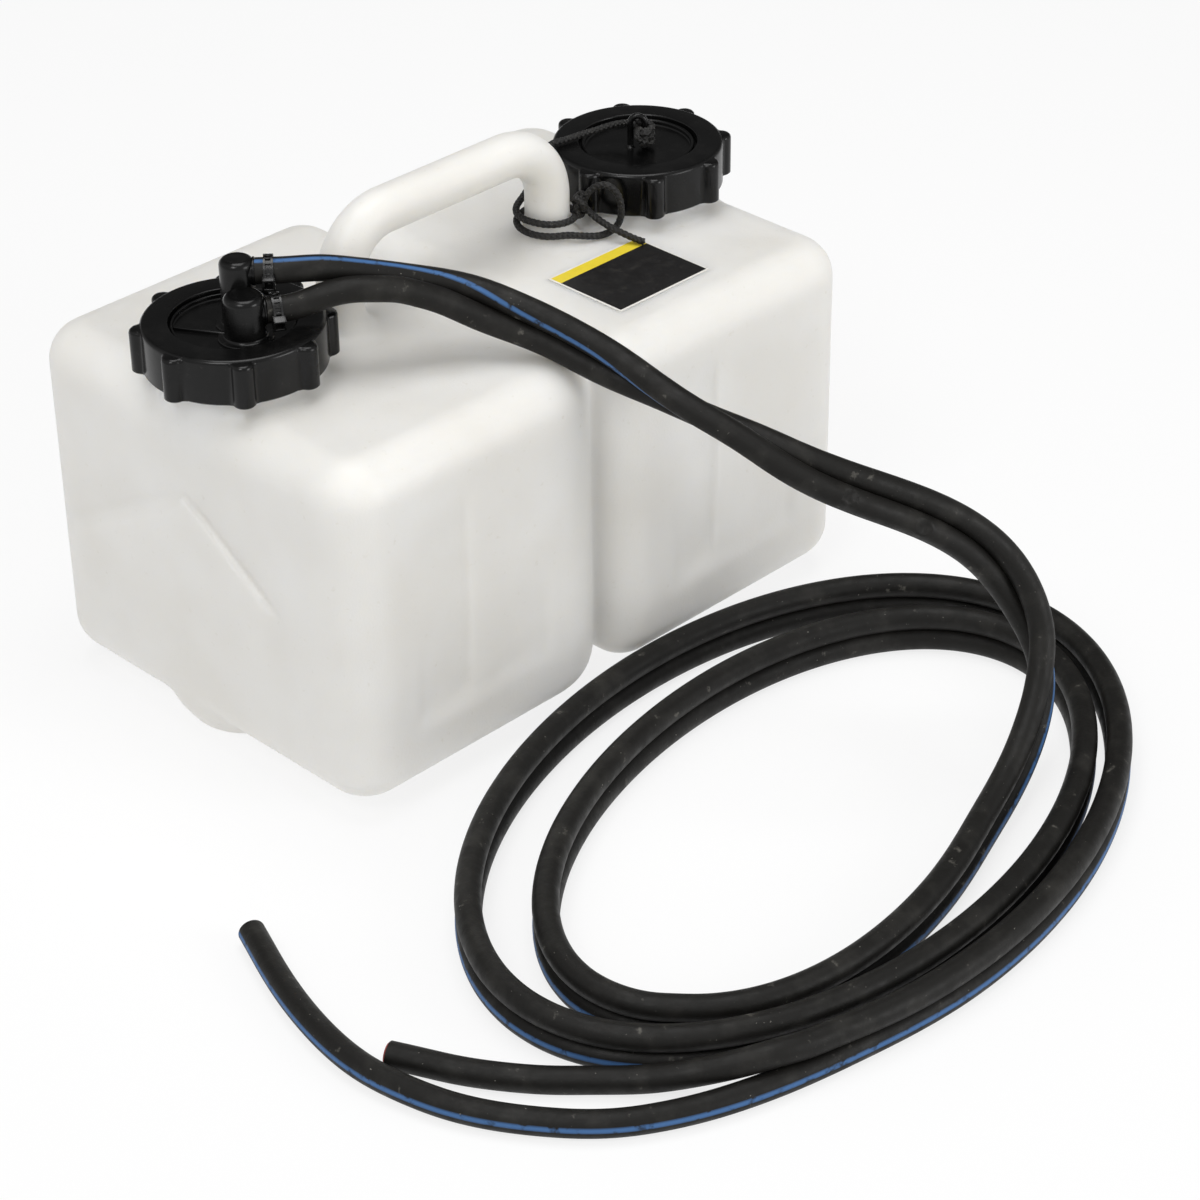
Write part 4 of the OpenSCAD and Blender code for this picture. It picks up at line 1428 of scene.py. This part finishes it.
@dataclass(frozen=True)
class FillerCap(ScrewCap):
    """Cap with a staple eye for the tether.

    Attributes:
        eye_bar: Radius of the eye's bar.
        eye_leg: Distance of its legs from its middle.
        eye_top: Its height above the plate.
        eye_deep: Depth that its legs reach into the plate.
        eye_turn: Heading from one leg to the other in degrees.
        eye_sides: Steps round the bar.
        foot_sides: Steps round the foot of a leg.
    """

    eye_bar: float = 1.7
    eye_leg: float = 3.95
    eye_top: float = 19.5
    eye_deep: float = 2.0
    eye_turn: float = -45.0
    eye_sides: int = 20
    foot_sides: int = 24

    # Fillet at the foot of a leg: out from the bar, and up from the plate
    FILLET = ((1.2, -0.3), (1.1, 0.1), (0.4, 0.5), (0.0, 1.3))

    def fittings(self) -> list[Shape]:
        """Makes what stands on the plate.

        Returns:
            The eye and the fillets at the feet of its legs.
        """
        top, bar, leg = self.plate_top, self.eye_bar, self.eye_leg
        high = self.eye_top - bar - leg
        bow = [(-leg, -self.eye_deep), *arc((0.0, high), leg, 180, 0, 14), (leg, -self.eye_deep)]
        across = heading(self.eye_turn)
        path = np.array([(self.x, 0.0, top) + u * across + z * UP for u, z in bow])
        eye = tube(path, carried(path, np.cross(UP, across)), bar, self.eye_sides)
        foot = lathe([(bar + out, z) for out, z in self.FILLET], self.foot_sides)
        sides = [np.array((self.x, 0.0, top)) + side * leg * across for side in (-1.0, 1.0)]
        return [eye, *(foot.at(*place) for place in sides)]


@dataclass(frozen=True)
class HoseTie:
    """Cable tie that clamps a hose on its barb."""

    tower: Tower
    # Strap: radius inside, thickness of web and rails, width, width and foot of a rail, steps round it
    inner: float = HOSE_R
    web: float = 0.6
    thick: float = 1.5
    width: float = 4.8
    rail: float = 1.0
    rail_deep: float = 0.4
    sides: int = 64
    # Rungs: their number, height and width, how much shorter than the strap's width, place and edges
    rungs: int = 17
    rung: tuple[float, float] = (1.4, 1.1)
    rung_gap: float = 1.6
    rung_at: float = 0.75
    rung_soft: float = 0.2
    # Open head: sides out of the hose, round it and along it, walls at sides and ends, place and edges
    head: tuple[float, float, float] = (5.0, 7.0, 6.5)
    head_walls: tuple[float, float] = (1.3, 1.2)
    head_at: float = 2.2
    head_soft: float = 0.35

    def build(self) -> Object:
        """Makes the tie: a strap with rails and rungs, and its square open head.

        Returns:
            The tie.
        """
        half, r = self.width / 2.0, self.inner
        bands = [(r, r + self.web, -half, half)]
        for low in (-half, half - self.rail):
            bands.append((r + self.rail_deep, r + self.thick, low, low + self.rail))
        strap = [
            lathe([(a, low), (b, low), (b, high), (a, high)], self.sides, closed=True)
            for a, b, low, high in bands
        ]
        rung = rounded_box((*self.rung, self.width - self.rung_gap), self.rung_soft, 1)
        rung = rung.at(r + self.rung_at, 0.0, 0.0)
        ladder = grown(ring_of_copies(), rung, Count=self.rungs, Phase=0.0, Finish=TIE_NYLON.material())
        deep, wide, tall = self.head
        side, end = self.head_walls
        turn = Matrix.Rotation(math.radians(self.tower.head_turn), 4, "Z")
        head = []
        for way in (1.0, -1.0):
            for size, y, z in (
                ((deep, side, tall), (wide - side) / 2.0, 0.0),
                ((deep, wide, end), 0.0, (tall - end) / 2.0),
            ):
                wall = rounded_box(size, self.head_soft)
                head.append(wall.at(r + self.head_at, way * y, way * z).moved(turn))
        shape = Shape.joined((*strap, ladder, *head)).moved(self.tower.frame_at(self.tower.tie_at))
        name = self.tower.name
        return piece(f"{name}_tie_skin", shape, (TIE_NYLON,), Body.PICKUP, (f"{name}_hose_tie",))


@dataclass(frozen=True)
class TwinHose:
    """Two bonded hoses from the cap to the floor, twice round a coil and apart to their cut ends."""

    # Hose: radius, bore, length of bore that is made from the cut end, and rounding of the cut edge
    radius: float = HOSE_R
    bore: float = 3.2
    bore_deep: float = 24.0
    cut: float = 0.9
    # Gap between the tower and the end of a hose on its barb
    root_gap: float = 0.3
    # Distance of the middle lines, less than a diameter as the hoses are bonded
    pitch: float = 12.8
    # Height of the middle line on the floor, and the gap below a hose
    floor_z: float = 6.7
    clear: float = 0.05
    # Length of a facet and facets round a hose
    step: float = 2.0
    facets: int = 32
    # Dents: reach and depth, then height of the rim in depths, and its place and width in reaches
    dent_wide: float = 2.8
    dent_deep: float = 2.4
    rim: float = 0.4
    rim_at: float = 1.7
    rim_wide: float = 0.45
    # Coil: turns at which the hoses come to it and leave it, points in a turn, and heading in degrees
    coil_first: float = 0.44
    coil_last: float = 2.35
    coil_rings: int = 36
    coil_turn: float = 10.0
    # Coil's middle and half sides, each with how much it changes in a turn
    coil_middle: tuple[float, float] = (-22.0, -288.0)
    coil_drift: tuple[float, float] = (-2.7, 11.0)
    coil_half: tuple[float, float] = (165.0, 83.0)
    coil_growth: tuple[float, float] = (27.0, 29.0)
    # Share of a turn in which the route joins the coil, and distance of the route's points above it
    join: float = 0.03
    route_step: float = 11.0
    # Distances from the coil at which the oil hose still runs straight
    tail: tuple[float, ...] = (13.0, 23.0)
    # Heights in metres where each hose starts to leave the cap's motion, and where both are the tank's
    bend_from: tuple[float, float] = (0.250, 0.2428)
    bend_to: float = 0.203

    # Middle line of the pair from the cap to the coil, with the pair's roll in degrees
    START = np.array((
        (-77.0, -48.0, 246.0, -262.0), (-56.5, -61.5, 237.5, -245.0), (-39.5, -79.0, 227.5, -205.0),
        (-26.0, -100.5, 218.5, -185.0), (-16.0, -126.0, 209.0, -180.0), (-7.5, -152.5, 200.0, -150.0),
        (0.5, -178.5, 191.5, -125.0), (11.5, -201.5, 182.0, -103.0), (23.0, -224.0, 171.0, -75.0),
        (40.0, -243.0, 159.0, -52.0), (61.0, -258.0, 146.0, -40.0), (83.0, -272.0, 130.0, -30.0),
        (102.0, -287.0, 108.0, -14.0), (110.0, -302.0, 83.0, 2.0), (108.0, -314.0, 62.0, 8.0),
        (99.0, -322.0, 46.0, 8.0), (86.0, -328.0, 34.0, 8.0), (60.0, -337.0, 21.5, 6.0),
        (25.0, -348.0, 15.0, 3.0), (-16.0, -362.0, 13.6, 0.0),
    ))
    # Middle line of each hose from its barb to the pair, and from the coil to its cut end
    PRESSURE_LEAD = ((-105.3, -25.0, 256.3), (-94.4, -30.6, 253.4))
    OIL_LEAD = ((-111.0, -34.0, 246.7), (-101.4, -41.6, 248.8), (-91.3, -48.3, 247.8))
    PRESSURE_ENDS = (
        (-137.6, -407.2, 6.7), (-157.2, -403.4, 6.7), (-176.7, -398.8, 6.7), (-195.9, -393.0, 6.7),
        (-214.5, -385.8, 6.7), (-232.3, -376.7, 6.7), (-248.9, -365.5, 6.7), (-261.5, -353.5, 6.7),
        (-272.0, -340.5, 6.7), (-283.0, -324.0, 6.7), (-293.0, -303.0, 6.7), (-299.0, -281.0, 6.7),
        (-302.0, -259.0, 6.7), (-301.0, -237.0, 6.7), (-297.0, -215.0, 6.7), (-291.0, -193.0, 6.7),
        (-284.0, -173.0, 6.7), (-276.0, -153.0, 6.7), (-272.4, -144.0, 6.7),
    )
    OIL_ENDS = (
        (-174.0, -395.5, 19.9), (-190.0, -386.0, 17.5), (-206.0, -372.5, 13.5), (-221.0, -356.0, 9.0),
        (-235.0, -339.0, 6.9), (-250.0, -323.0, 6.7), (-263.0, -306.0, 6.7), (-274.0, -288.0, 6.7),
        (-282.0, -271.0, 6.7), (-288.0, -258.25, 6.7),
    )
    # Places of the two dents on the pressure hose, and the way that they are pressed in
    DENTS = ((32.9, -249.8, 159.7), (64.2, -270.9, 137.2))
    PRESS = (0.6, 0.6, -0.53)

    def dented(self, points: Grid) -> Grid:
        """Presses the two small dents in, where they lie on this hose.

        Args:
            points: Vertices of a hose, one to a row.

        Returns:
            The vertices with the dents.
        """
        points = points.copy()
        for place in self.DENTS:
            off = np.linalg.norm(points - np.array(place), axis=1, keepdims=True) / self.dent_wide
            rim = self.rim * np.exp(-np.square((off - self.rim_at) / self.rim_wide))
            points += self.dent_deep * (np.exp(-np.square(off)) - rim) * unit(np.array(self.PRESS))
        return points

    def coil(self, u: float, z: float) -> Grid:
        """Finds a point of the coil.

        Args:
            u: Turns from the coil's start.
            z: Height of the point.

        Returns:
            The point.
        """
        a = 2.0 * math.pi * u
        across, deep = (half + grow * u for half, grow in zip(self.coil_half, self.coil_growth))
        across, deep = across * math.cos(a), -deep * math.sin(a)
        x, y = (middle + drift * u for middle, drift in zip(self.coil_middle, self.coil_drift))
        cos, sin, _ = heading(self.coil_turn)
        return np.array((x + across * cos - deep * sin, y + across * sin + deep * cos, z))

    def controls(self, side: Side) -> tuple[Grid, Grid]:
        """Finds the points that one hose passes through, and there the direction towards the other.

        Args:
            side: Which hose.

        Returns:
            Points, and directions from the pressure hose to the oil hose.
        """
        pressure = side is Side.PRESSURE
        tower = PRESSURE_TOWER if pressure else OIL_TOWER
        lead = self.PRESSURE_LEAD if pressure else self.OIL_LEAD
        ends = self.PRESSURE_ENDS if pressure else self.OIL_ENDS
        z = self.floor_z if pressure else self.floor_z + self.pitch
        first, last, little, hair = self.coil_first, self.coil_last, 0.005, 0.001
        half = self.pitch / 2.0
        joins = np.array([(*self.coil(first + u, self.floor_z + half), 0.0) for u in (0.0, self.join)])
        route, _ = spline(np.vstack((self.START, joins)), self.route_step)
        along = tangents(route[:, :3])
        high = unit(UP - (along @ UP)[:, None] * along)
        rolls = np.radians(route[:, 3:])
        pair = np.cos(rolls) * high + np.sin(rolls) * np.cross(along, high)
        start = [tower.at(tower.radius + self.root_gap), tower.at(tower.barb_length), *map(np.array, lead)]
        shares = np.arange(first + 2.0 * self.join, last + hair, 1.0 / self.coil_rings)
        turns = [self.coil(u, z) for u in shares]
        out = unit(self.coil(last + little, 0.0) - self.coil(last - little, 0.0))
        straight = [] if pressure else [self.coil(last, z) + s * out for s in self.tail]
        beside = route[:, :3] + side.value * half * pair
        points = [*start, *beside, *turns, *straight, *map(np.array, ends)]
        ways = [pair[0]] * len(start) + list(pair) + [UP] * (len(turns) + len(straight) + len(ends))
        return np.array(points), np.array(ways)

    def hose(self, side: Side, finish: Finish, rim: Finish) -> Object:
        """Makes one hose with its bore open at the cut end.

        Args:
            side: Which hose.
            finish: Its rubber.
            rim: What shows on the cut face.

        Returns:
            The hose.
        """
        points, ways = self.controls(side)
        path, place = spline(points, self.step)
        path[:, 2] = np.maximum(path[:, 2], self.radius + self.clear)
        index = np.arange(len(points))
        sides = np.stack([np.interp(place, index, ways[:, i]) for i in range(3)], 1)
        along = tangents(path)
        end, back = path[-1], along[-1]
        face = end + self.cut * back
        skin = np.vstack((path, face, face, end - self.bore_deep * back))
        sides = np.vstack((sides, np.tile(sides[-1], (3, 1))))
        along = np.vstack((along, np.tile(back, (3, 1))))
        radii = [self.radius] * len(path) + [self.radius - self.cut, self.bore, self.bore]
        shape = tube(skin, sides, np.array(radii), self.facets, along)
        shape.points = self.dented(shape.points)
        # Bands of the skin in order: rubber, the edge and the face of the cut, and the bore
        bands = [0] * (len(skin) - 4) + [1, 1, 2]
        shape.slots = np.concatenate((np.repeat(bands, self.facets), (0, 2))).astype(np.int32)
        name = f"{side.name.lower()}_hose"
        nodes = [f"{name}_{part}" for part in ("run", "coil", "tail")]
        hose = piece(name, shape, (finish, rim, HOSE_BORE), None, nodes)
        high = self.bend_from[0] if side is Side.PRESSURE else self.bend_from[1]
        start, end = (0.0, 0.0, high), (0.0, 0.0, self.bend_to)
        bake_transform(hose)
        return hose

    def build(self) -> list[Object]:
        """Makes both hoses."""
        return [
            self.hose(Side.PRESSURE, PRESSURE_RUBBER, PRESSURE_RUBBER),
            self.hose(Side.OIL, OIL_RUBBER, RED_CUT),
        ]


@dataclass(frozen=True)
class Tether:
    """Braided cord from the filler cap's eye to the handle's leg, tied there in a bow."""

    # Cord: radius, length of a facet and facets round it
    radius: float = 1.95
    step: float = 0.45
    facets: int = 24
    # Braid: strands that show, length in which one runs twice round, and depth between them
    strands: int = 8
    braid: float = 5.6
    plait: float = 0.5
    # Winding round the handle's leg: place, radius and its growth in a turn, heading of its start in degrees
    leg_x: float = Moulding.leg_x
    wrap_r: float = 14.25
    wrap_slack: float = 2.5
    wrap_start: float = 200.0
    # Its turns, fall in a turn, height of its start, points, and straight cord at its ends
    wrap_turns: float = 1.12
    wrap_pitch: float = 5.7
    wrap_high: float = 215.0
    wrap_points: int = 28
    wrap_lead: float = 3.9
    # Coil on the eye's leg: radius, turns, rise in a turn and heading of its start in radians
    coil_r: float = 3.5
    coil_turns: float = 2.7
    coil_pitch: float = 3.9
    coil_start: float = 4.0
    coil_points: int = 120
    # Knots: how far the cord weaves out and in, then reach across and up, and heading, of each
    knot_deep: float = 1.9
    knot_points: int = 160
    leg_knot: tuple[float, float] = (4.6, 6.6)
    leg_way: float = -40.0
    eye_knot: tuple[float, float] = (2.9, 4.2)
    eye_way: float = 225.0
    # Length of cord between the eye's middle and its knot
    eye_lead: float = 7.0

    # Middle of the leg's knot, the eye's middle, the foot of its leg, and how its knot hangs from the cord
    LEG_KNOT = np.array((86.25, -11.12, 218.66))
    EYE = np.array((142.0, 0.0, 240.05))
    EYE_LEG = np.array((144.8, -2.8, 232.4))
    HANG = np.array((1.8, -1.8, -1.5))
    # Middle line of the cord from the eye to the winding, and from the winding round the bow to its end
    OVER = (
        (144.0, 7.0, 240.2), (142.5, 11.5, 239.6), (137.0, 15.5, 238.6), (128.0, 19.5, 237.3),
        (118.0, 22.5, 236.6), (108.0, 24.4, 236.5), (100.0, 26.0, 235.6), (92.0, 24.0, 229.0),
        (83.0, 21.0, 222.5), (73.5, 18.5, 218.0), (65.0, 15.0, 216.0), (59.5, 8.5, 215.4),
    )
    BOW = (
        (79.0, -21.5, 206.0), (86.0, -24.5, 204.6), (92.0, -26.0, 204.6), (96.2, -27.8, 207.0),
        (97.8, -30.0, 213.0), (97.8, -30.5, 220.0), (96.8, -28.8, 226.5), (94.0, -24.0, 231.0),
        (91.0, -18.5, 229.5), (88.5, -14.5, 224.5), (87.5, -13.2, 219.0), (89.2, -16.5, 214.0),
        (90.0, -23.0, 211.3), (90.8, -30.0, 209.6), (93.0, -37.0, 207.6), (96.0, -42.5, 205.4),
        (97.5, -47.5, 204.8),
    )

    def wrap(self, u: float) -> Grid:
        """Point of the winding after u turns."""
        out = (self.wrap_r + self.wrap_slack * u) * heading(self.wrap_start + 360.0 * u)
        return np.array((self.leg_x, 0.0, self.wrap_high - self.wrap_pitch * u)) + out

    def cord(self, path: Grid) -> Shape:
        """Makes cord with the relief of its braid.

        Args:
            path: Its middle line.

        Returns:
            The cord.
        """
        angle = np.linspace(0.0, 2.0 * math.pi, self.facets, endpoint=False)[None, :] * self.strands / 2.0
        twist = run_of(path)[:, None] * 4.0 * math.pi / self.braid
        plait = np.maximum(np.sin(angle + twist), np.sin(angle - twist))
        # A little is added, so that a cord that starts upright has a side too
        sides = carried(path, np.cross(tangents(path)[0], UP) + 0.01)
        return tube(path, sides, self.radius - self.plait * (1.0 - plait), self.facets)

    def knot(self, middle: Grid, out: Grid, wide: float, tall: float) -> Shape:
        """Makes a tight knot that lies flat against what it is tied to.

        Args:
            middle: Its middle.
            out: Level direction that it faces.
            wide: Reach of its middle line to each side.
            tall: Reach of its middle line up and down.

        Returns:
            The knot.
        """
        t = np.linspace(0.0, 2.0 * math.pi, self.knot_points)[:, None]
        across = np.cross(UP, out) * (np.sin(t) + 2.0 * np.sin(2.0 * t)) * wide / 3.0
        height = UP * (np.cos(t) - 2.0 * np.cos(2.0 * t)) * tall / 3.0
        return self.cord(middle + across + height - self.knot_deep * out * np.sin(3.0 * t))

    def eye_coil(self) -> Shape:
        """Makes the cord wound round the eye's leg.

        Returns:
            The coil.
        """
        t = np.linspace(0.0, self.coil_turns, self.coil_points)[:, None]
        angle = 2.0 * math.pi * t + self.coil_start
        about = np.hstack((np.cos(angle), np.sin(angle), np.zeros_like(t)))
        return self.cord(self.EYE_LEG + self.coil_r * about + self.coil_pitch * t * UP)

    def build(self) -> list[Object]:
        """Makes the cord and its two knots.

        Returns:
            The cord, the knot on the handle's leg and the knot on the eye.
        """
        little = 0.005
        turns = [self.wrap(u) for u in np.linspace(0.0, self.wrap_turns, self.wrap_points)]
        first, last = (unit(self.wrap(u + little) - self.wrap(u - little)) for u in (0.0, self.wrap_turns))
        tied = self.EYE + self.eye_lead * heading(self.eye_way)
        lead_in, lead_out = turns[0] - self.wrap_lead * first, turns[-1] + self.wrap_lead * last
        points = [tied, self.EYE, *self.OVER, lead_in, *turns, lead_out, *self.BOW]
        path, _ = spline(np.array(points), self.step)
        nodes = ("cap_tether", "tether_wrap", "tether_bow")
        cord = piece("tether_cord", self.cord(path), (CORD_BLACK,), None, nodes, BRAID_CRISP)
        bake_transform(cord)
        low = self.knot(self.LEG_KNOT, heading(self.leg_way), *self.leg_knot)
        high = self.knot(tied + self.HANG, heading(self.eye_way), *self.eye_knot)
        high = Shape.joined((high, self.eye_coil()))
        leg, eye = (
            piece(f"{name}_skin", shape, (CORD_BLACK,), body, (name,), BRAID_CRISP)
            for name, shape, body in (("leg_knot", low, Body.TANK), ("eye_knot", high, Body.FILLER))
        )
        return [cord, leg, eye]


@dataclass(frozen=True)
class Decal:
    """Plain two-colour film on the tank's top.

    Attributes:
        x: Middle along X.
        y: Middle along Y.
        z: Height of the tank's top.
        length: Side along X.
        width: Side along Y.
        strip: Width of the yellow strip.
        border: Width of the white border.
        film: Thickness of the film.
        ink: Thickness of a printed area.
        ink_lift: How far its middle lies above the film's.
    """

    x: float = 69.0
    y: float = -64.0
    z: float = Moulding.high
    length: float = 66.0
    width: float = 53.0
    strip: float = 7.5
    border: float = 1.2
    film: float = 0.3
    ink: float = 0.1
    ink_lift: float = 0.17

    def build(self) -> Object:
        """Makes the film with its border, strip and field.

        Returns:
            The decal.
        """
        inner = self.length - 2.0 * self.border
        field = self.width - self.strip - 2.0 * self.border
        strip_y = (self.width - self.strip) / 2.0 - self.border
        base = rounded_box((self.length, self.width, self.film), self.film / 3.0, 1)
        strip = rounded_box((inner, self.strip, self.ink), 0.3 * self.ink, 1)
        rest = rounded_box((inner, field, self.ink), 0.3 * self.ink, 1)
        strip, rest = strip.at(0.0, strip_y, self.ink_lift), rest.at(0.0, -self.strip / 2.0, self.ink_lift)
        shapes = (base, strip, rest)
        shape = Shape.joined(shapes).at(self.x, self.y, self.z + self.film / 2.0)
        finishes = (FILM_WHITE, FILM_YELLOW, FILM_BLACK)
        return piece("decal_film", shape, finishes, Body.TANK, ("top_decal",))


@dataclass(frozen=True)
class SoftBox:
    """Square studio light.

    Attributes:
        name: Name of the light.
        place: Its place in metres.
        size: Its side in metres.
        power: Its power in watts.
    """

    name: str
    place: tuple[float, float, float]
    size: float
    power: float

    def build(self, aim: Point) -> None:
        """Hangs the light.

        Args:
            aim: Point in metres that it faces.
        """
        data = bpy.data.lights.new(self.name, "AREA")
        data.size, data.energy = self.size, self.power
        obj = placed(self.name, data)
        turn = (Vector(aim) - Vector(self.place)).to_track_quat("-Z", "Y").to_matrix().to_4x4()
        obj.matrix_world = Matrix.Translation(Vector(self.place)) @ turn


@dataclass(frozen=True)
class Studio:
    """Pale floor, soft light and the camera."""

    # Camera: focal length and sensor in millimetres, and how far it sees in metres
    lens: float = 102.0
    sensor: float = 36.0
    sight: float = 80.0
    # Its heading from +Y towards +X, fall and roll in degrees, and its place in millimetres
    azimuth: float = 44.9695
    elevation: float = 32.4242
    roll: float = -0.7357
    place: tuple[float, float, float] = (-1060.3, -1170.3, 1006.0)
    # Strength of the sky and of the wall that faces the camera, the way to it and the cosines of its edge
    sky_light: float = 0.62
    far_light: float = 0.1
    far_way: tuple[float, float, float] = (0.6, 0.6, 0.53)
    far_fade: tuple[float, float] = (0.3, 0.85)
    # Floor: half of its side in metres, colour, and share of plain white in its light and where it is seen
    floor_half: float = 25.0
    floor_grey: str = "#f3f3f3"
    floor_light: float = 0.5
    floor_white: float = 0.78
    # Soft boxes, and the point in metres that they face
    lamps: tuple[SoftBox, ...] = (
        SoftBox("key", (-1.6, -0.7, 2.0), size=0.8, power=15.0),
        SoftBox("fill", (0.7, -2.2, 0.8), size=0.9, power=14.5),
        SoftBox("top", (0.1, 0.0, 2.4), size=1.4, power=24.0),
    )
    aim: tuple[float, float, float] = (-0.03, -0.12, 0.1)

    def camera(self) -> None:
        """Sets the camera where the picture was taken from."""
        data = bpy.data.cameras.new("camera")
        data.lens, data.sensor_width, data.clip_end = self.lens, self.sensor, self.sight
        az, el, roll = (math.radians(v) for v in (self.azimuth, self.elevation, self.roll))
        ahead = Vector((math.cos(el) * math.sin(az), math.cos(el) * math.cos(az), -math.sin(el)))
        right = ahead.cross(Vector(UP)).normalized()
        up = right.cross(ahead)
        level = math.cos(roll) * right + math.sin(roll) * up
        tall = math.cos(roll) * up - math.sin(roll) * right
        turn = Matrix((level, tall, -ahead)).transposed().to_4x4()
        obj = placed("camera", data)
        obj.matrix_world = Matrix.Translation(Vector(self.place) * MM) @ turn
        bpy.context.scene.camera = obj

    def floor(self) -> None:
        """Lays a pale floor that shows as white and keeps the object's shadow."""
        mesh = bpy.data.meshes.new("floor")
        half = self.floor_half
        corners = [(-half, -half, 0), (half, -half, 0), (half, half, 0), (-half, half, 0)]
        mesh.from_pydata(corners, [], [(0, 1, 2, 3)])
        # Pale matt floor: evenly lit, so that only the object's shadow shows on it
        made = bpy.data.materials.new("pale_floor")
        tree = emptied(made)
        matt = add(tree, "ShaderNodeBsdfDiffuse", {"Color": linear(self.floor_grey)})
        glow = add(tree, "ShaderNodeEmission", {"Color": linear("#ffffff"), "Strength": 1.0})
        white = {"Value": self.seen(tree), "To Min": self.floor_light, "To Max": self.floor_white}
        share = add(tree, "ShaderNodeMapRange", white)
        inputs = {0: share.outputs[0], 1: matt.outputs[0], 2: glow.outputs[0]}
        both = add(tree, "ShaderNodeMixShader", inputs)
        add(tree, "ShaderNodeOutputMaterial", {"Surface": both.outputs[0]})
        mesh.materials.append(made)
        placed("floor", mesh)

    @staticmethod
    def seen(tree: Tree) -> Socket:
        """Adds a value that tells the rays that show the backdrop, straight or in a reflection, from others.

        Args:
            tree: Tree that gets it.

        Returns:
            Socket that is 1 for those rays and 0 for others.
        """
        path = add(tree, "ShaderNodeLightPath").outputs
        share = path["Is Camera Ray"]
        for kind in ("Is Glossy Ray", "Is Transmission Ray"):
            both = {0: share, 1: path[kind]}
            share = add(tree, "ShaderNodeMath", both, operation="ADD", use_clamp=True).outputs[0]
        return share

    def sky(self) -> None:
        """Fills the studio with even light, which fades towards the dark wall that faces the camera."""
        world = bpy.data.worlds.new("studio")
        bpy.context.scene.world = world
        tree = emptied(world)
        way = {0: add(tree, "ShaderNodeTexCoord").outputs["Generated"], 1: self.far_way}
        facing = add(tree, "ShaderNodeVectorMath", way, operation="DOT_PRODUCT").outputs["Value"]
        start, end = self.far_fade
        fade = {"Value": facing, "From Min": start, "From Max": end}
        fade |= {"To Min": self.sky_light, "To Max": self.far_light}
        strength = add(tree, "ShaderNodeMapRange", fade).outputs["Result"]
        back = add(tree, "ShaderNodeBackground", {"Color": linear("#ffffff"), "Strength": strength})
        add(tree, "ShaderNodeOutputWorld", {"Surface": back.outputs[0]})

    def build(self) -> None:
        """Sets up the whole studio."""
        self.camera()
        self.floor()
        self.sky()
        for lamp in self.lamps:
            lamp.build(self.aim)
        bpy.context.scene.view_settings.view_transform = "Standard"


def dress_frame() -> list[Object]:
    """Gives the frame nodes that are used as they are their finishes.

    Returns:
        Those nodes.
    """
    finishes = {
        "pickup_gasket": GASKET_RUBBER,
        "filler_gasket": GASKET_RUBBER,
        "pickup_tube": TUBE_WHITE,
        "strainer_body": TUBE_WHITE,
        "strainer_screen": GAUZE,
    }
    for name, finish in finishes.items():
        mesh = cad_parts[name].data
        mesh.materials.clear()
        mesh.materials.append(finish.material())
    return [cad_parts[name] for name in finishes]


def main() -> None:
    """Builds the studio, then the tank with its caps, hoses and tether, and reports each piece."""
    logging.basicConfig(level=logging.INFO, format="%(levelname)s %(message)s")
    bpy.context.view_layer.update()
    Studio().build()
    made = [Moulding().build()]
    made += PickupCap("pickup", -Moulding.neck_x, Body.PICKUP, Body.PICKUP_RING).build()
    made += FillerCap("filler", Moulding.neck_x, Body.FILLER, Body.FILLER_RING).build()
    made += [HoseTie(tower).build() for tower in (PRESSURE_TOWER, OIL_TOWER)]
    made += TwinHose().build()
    made += Tether().build()
    made += [Decal().build(), *dress_frame()]
    for obj in made:
        LOG.info("%s: %d faces", obj.name, len(obj.data.polygons))


if __name__ == "__main__":
    main()
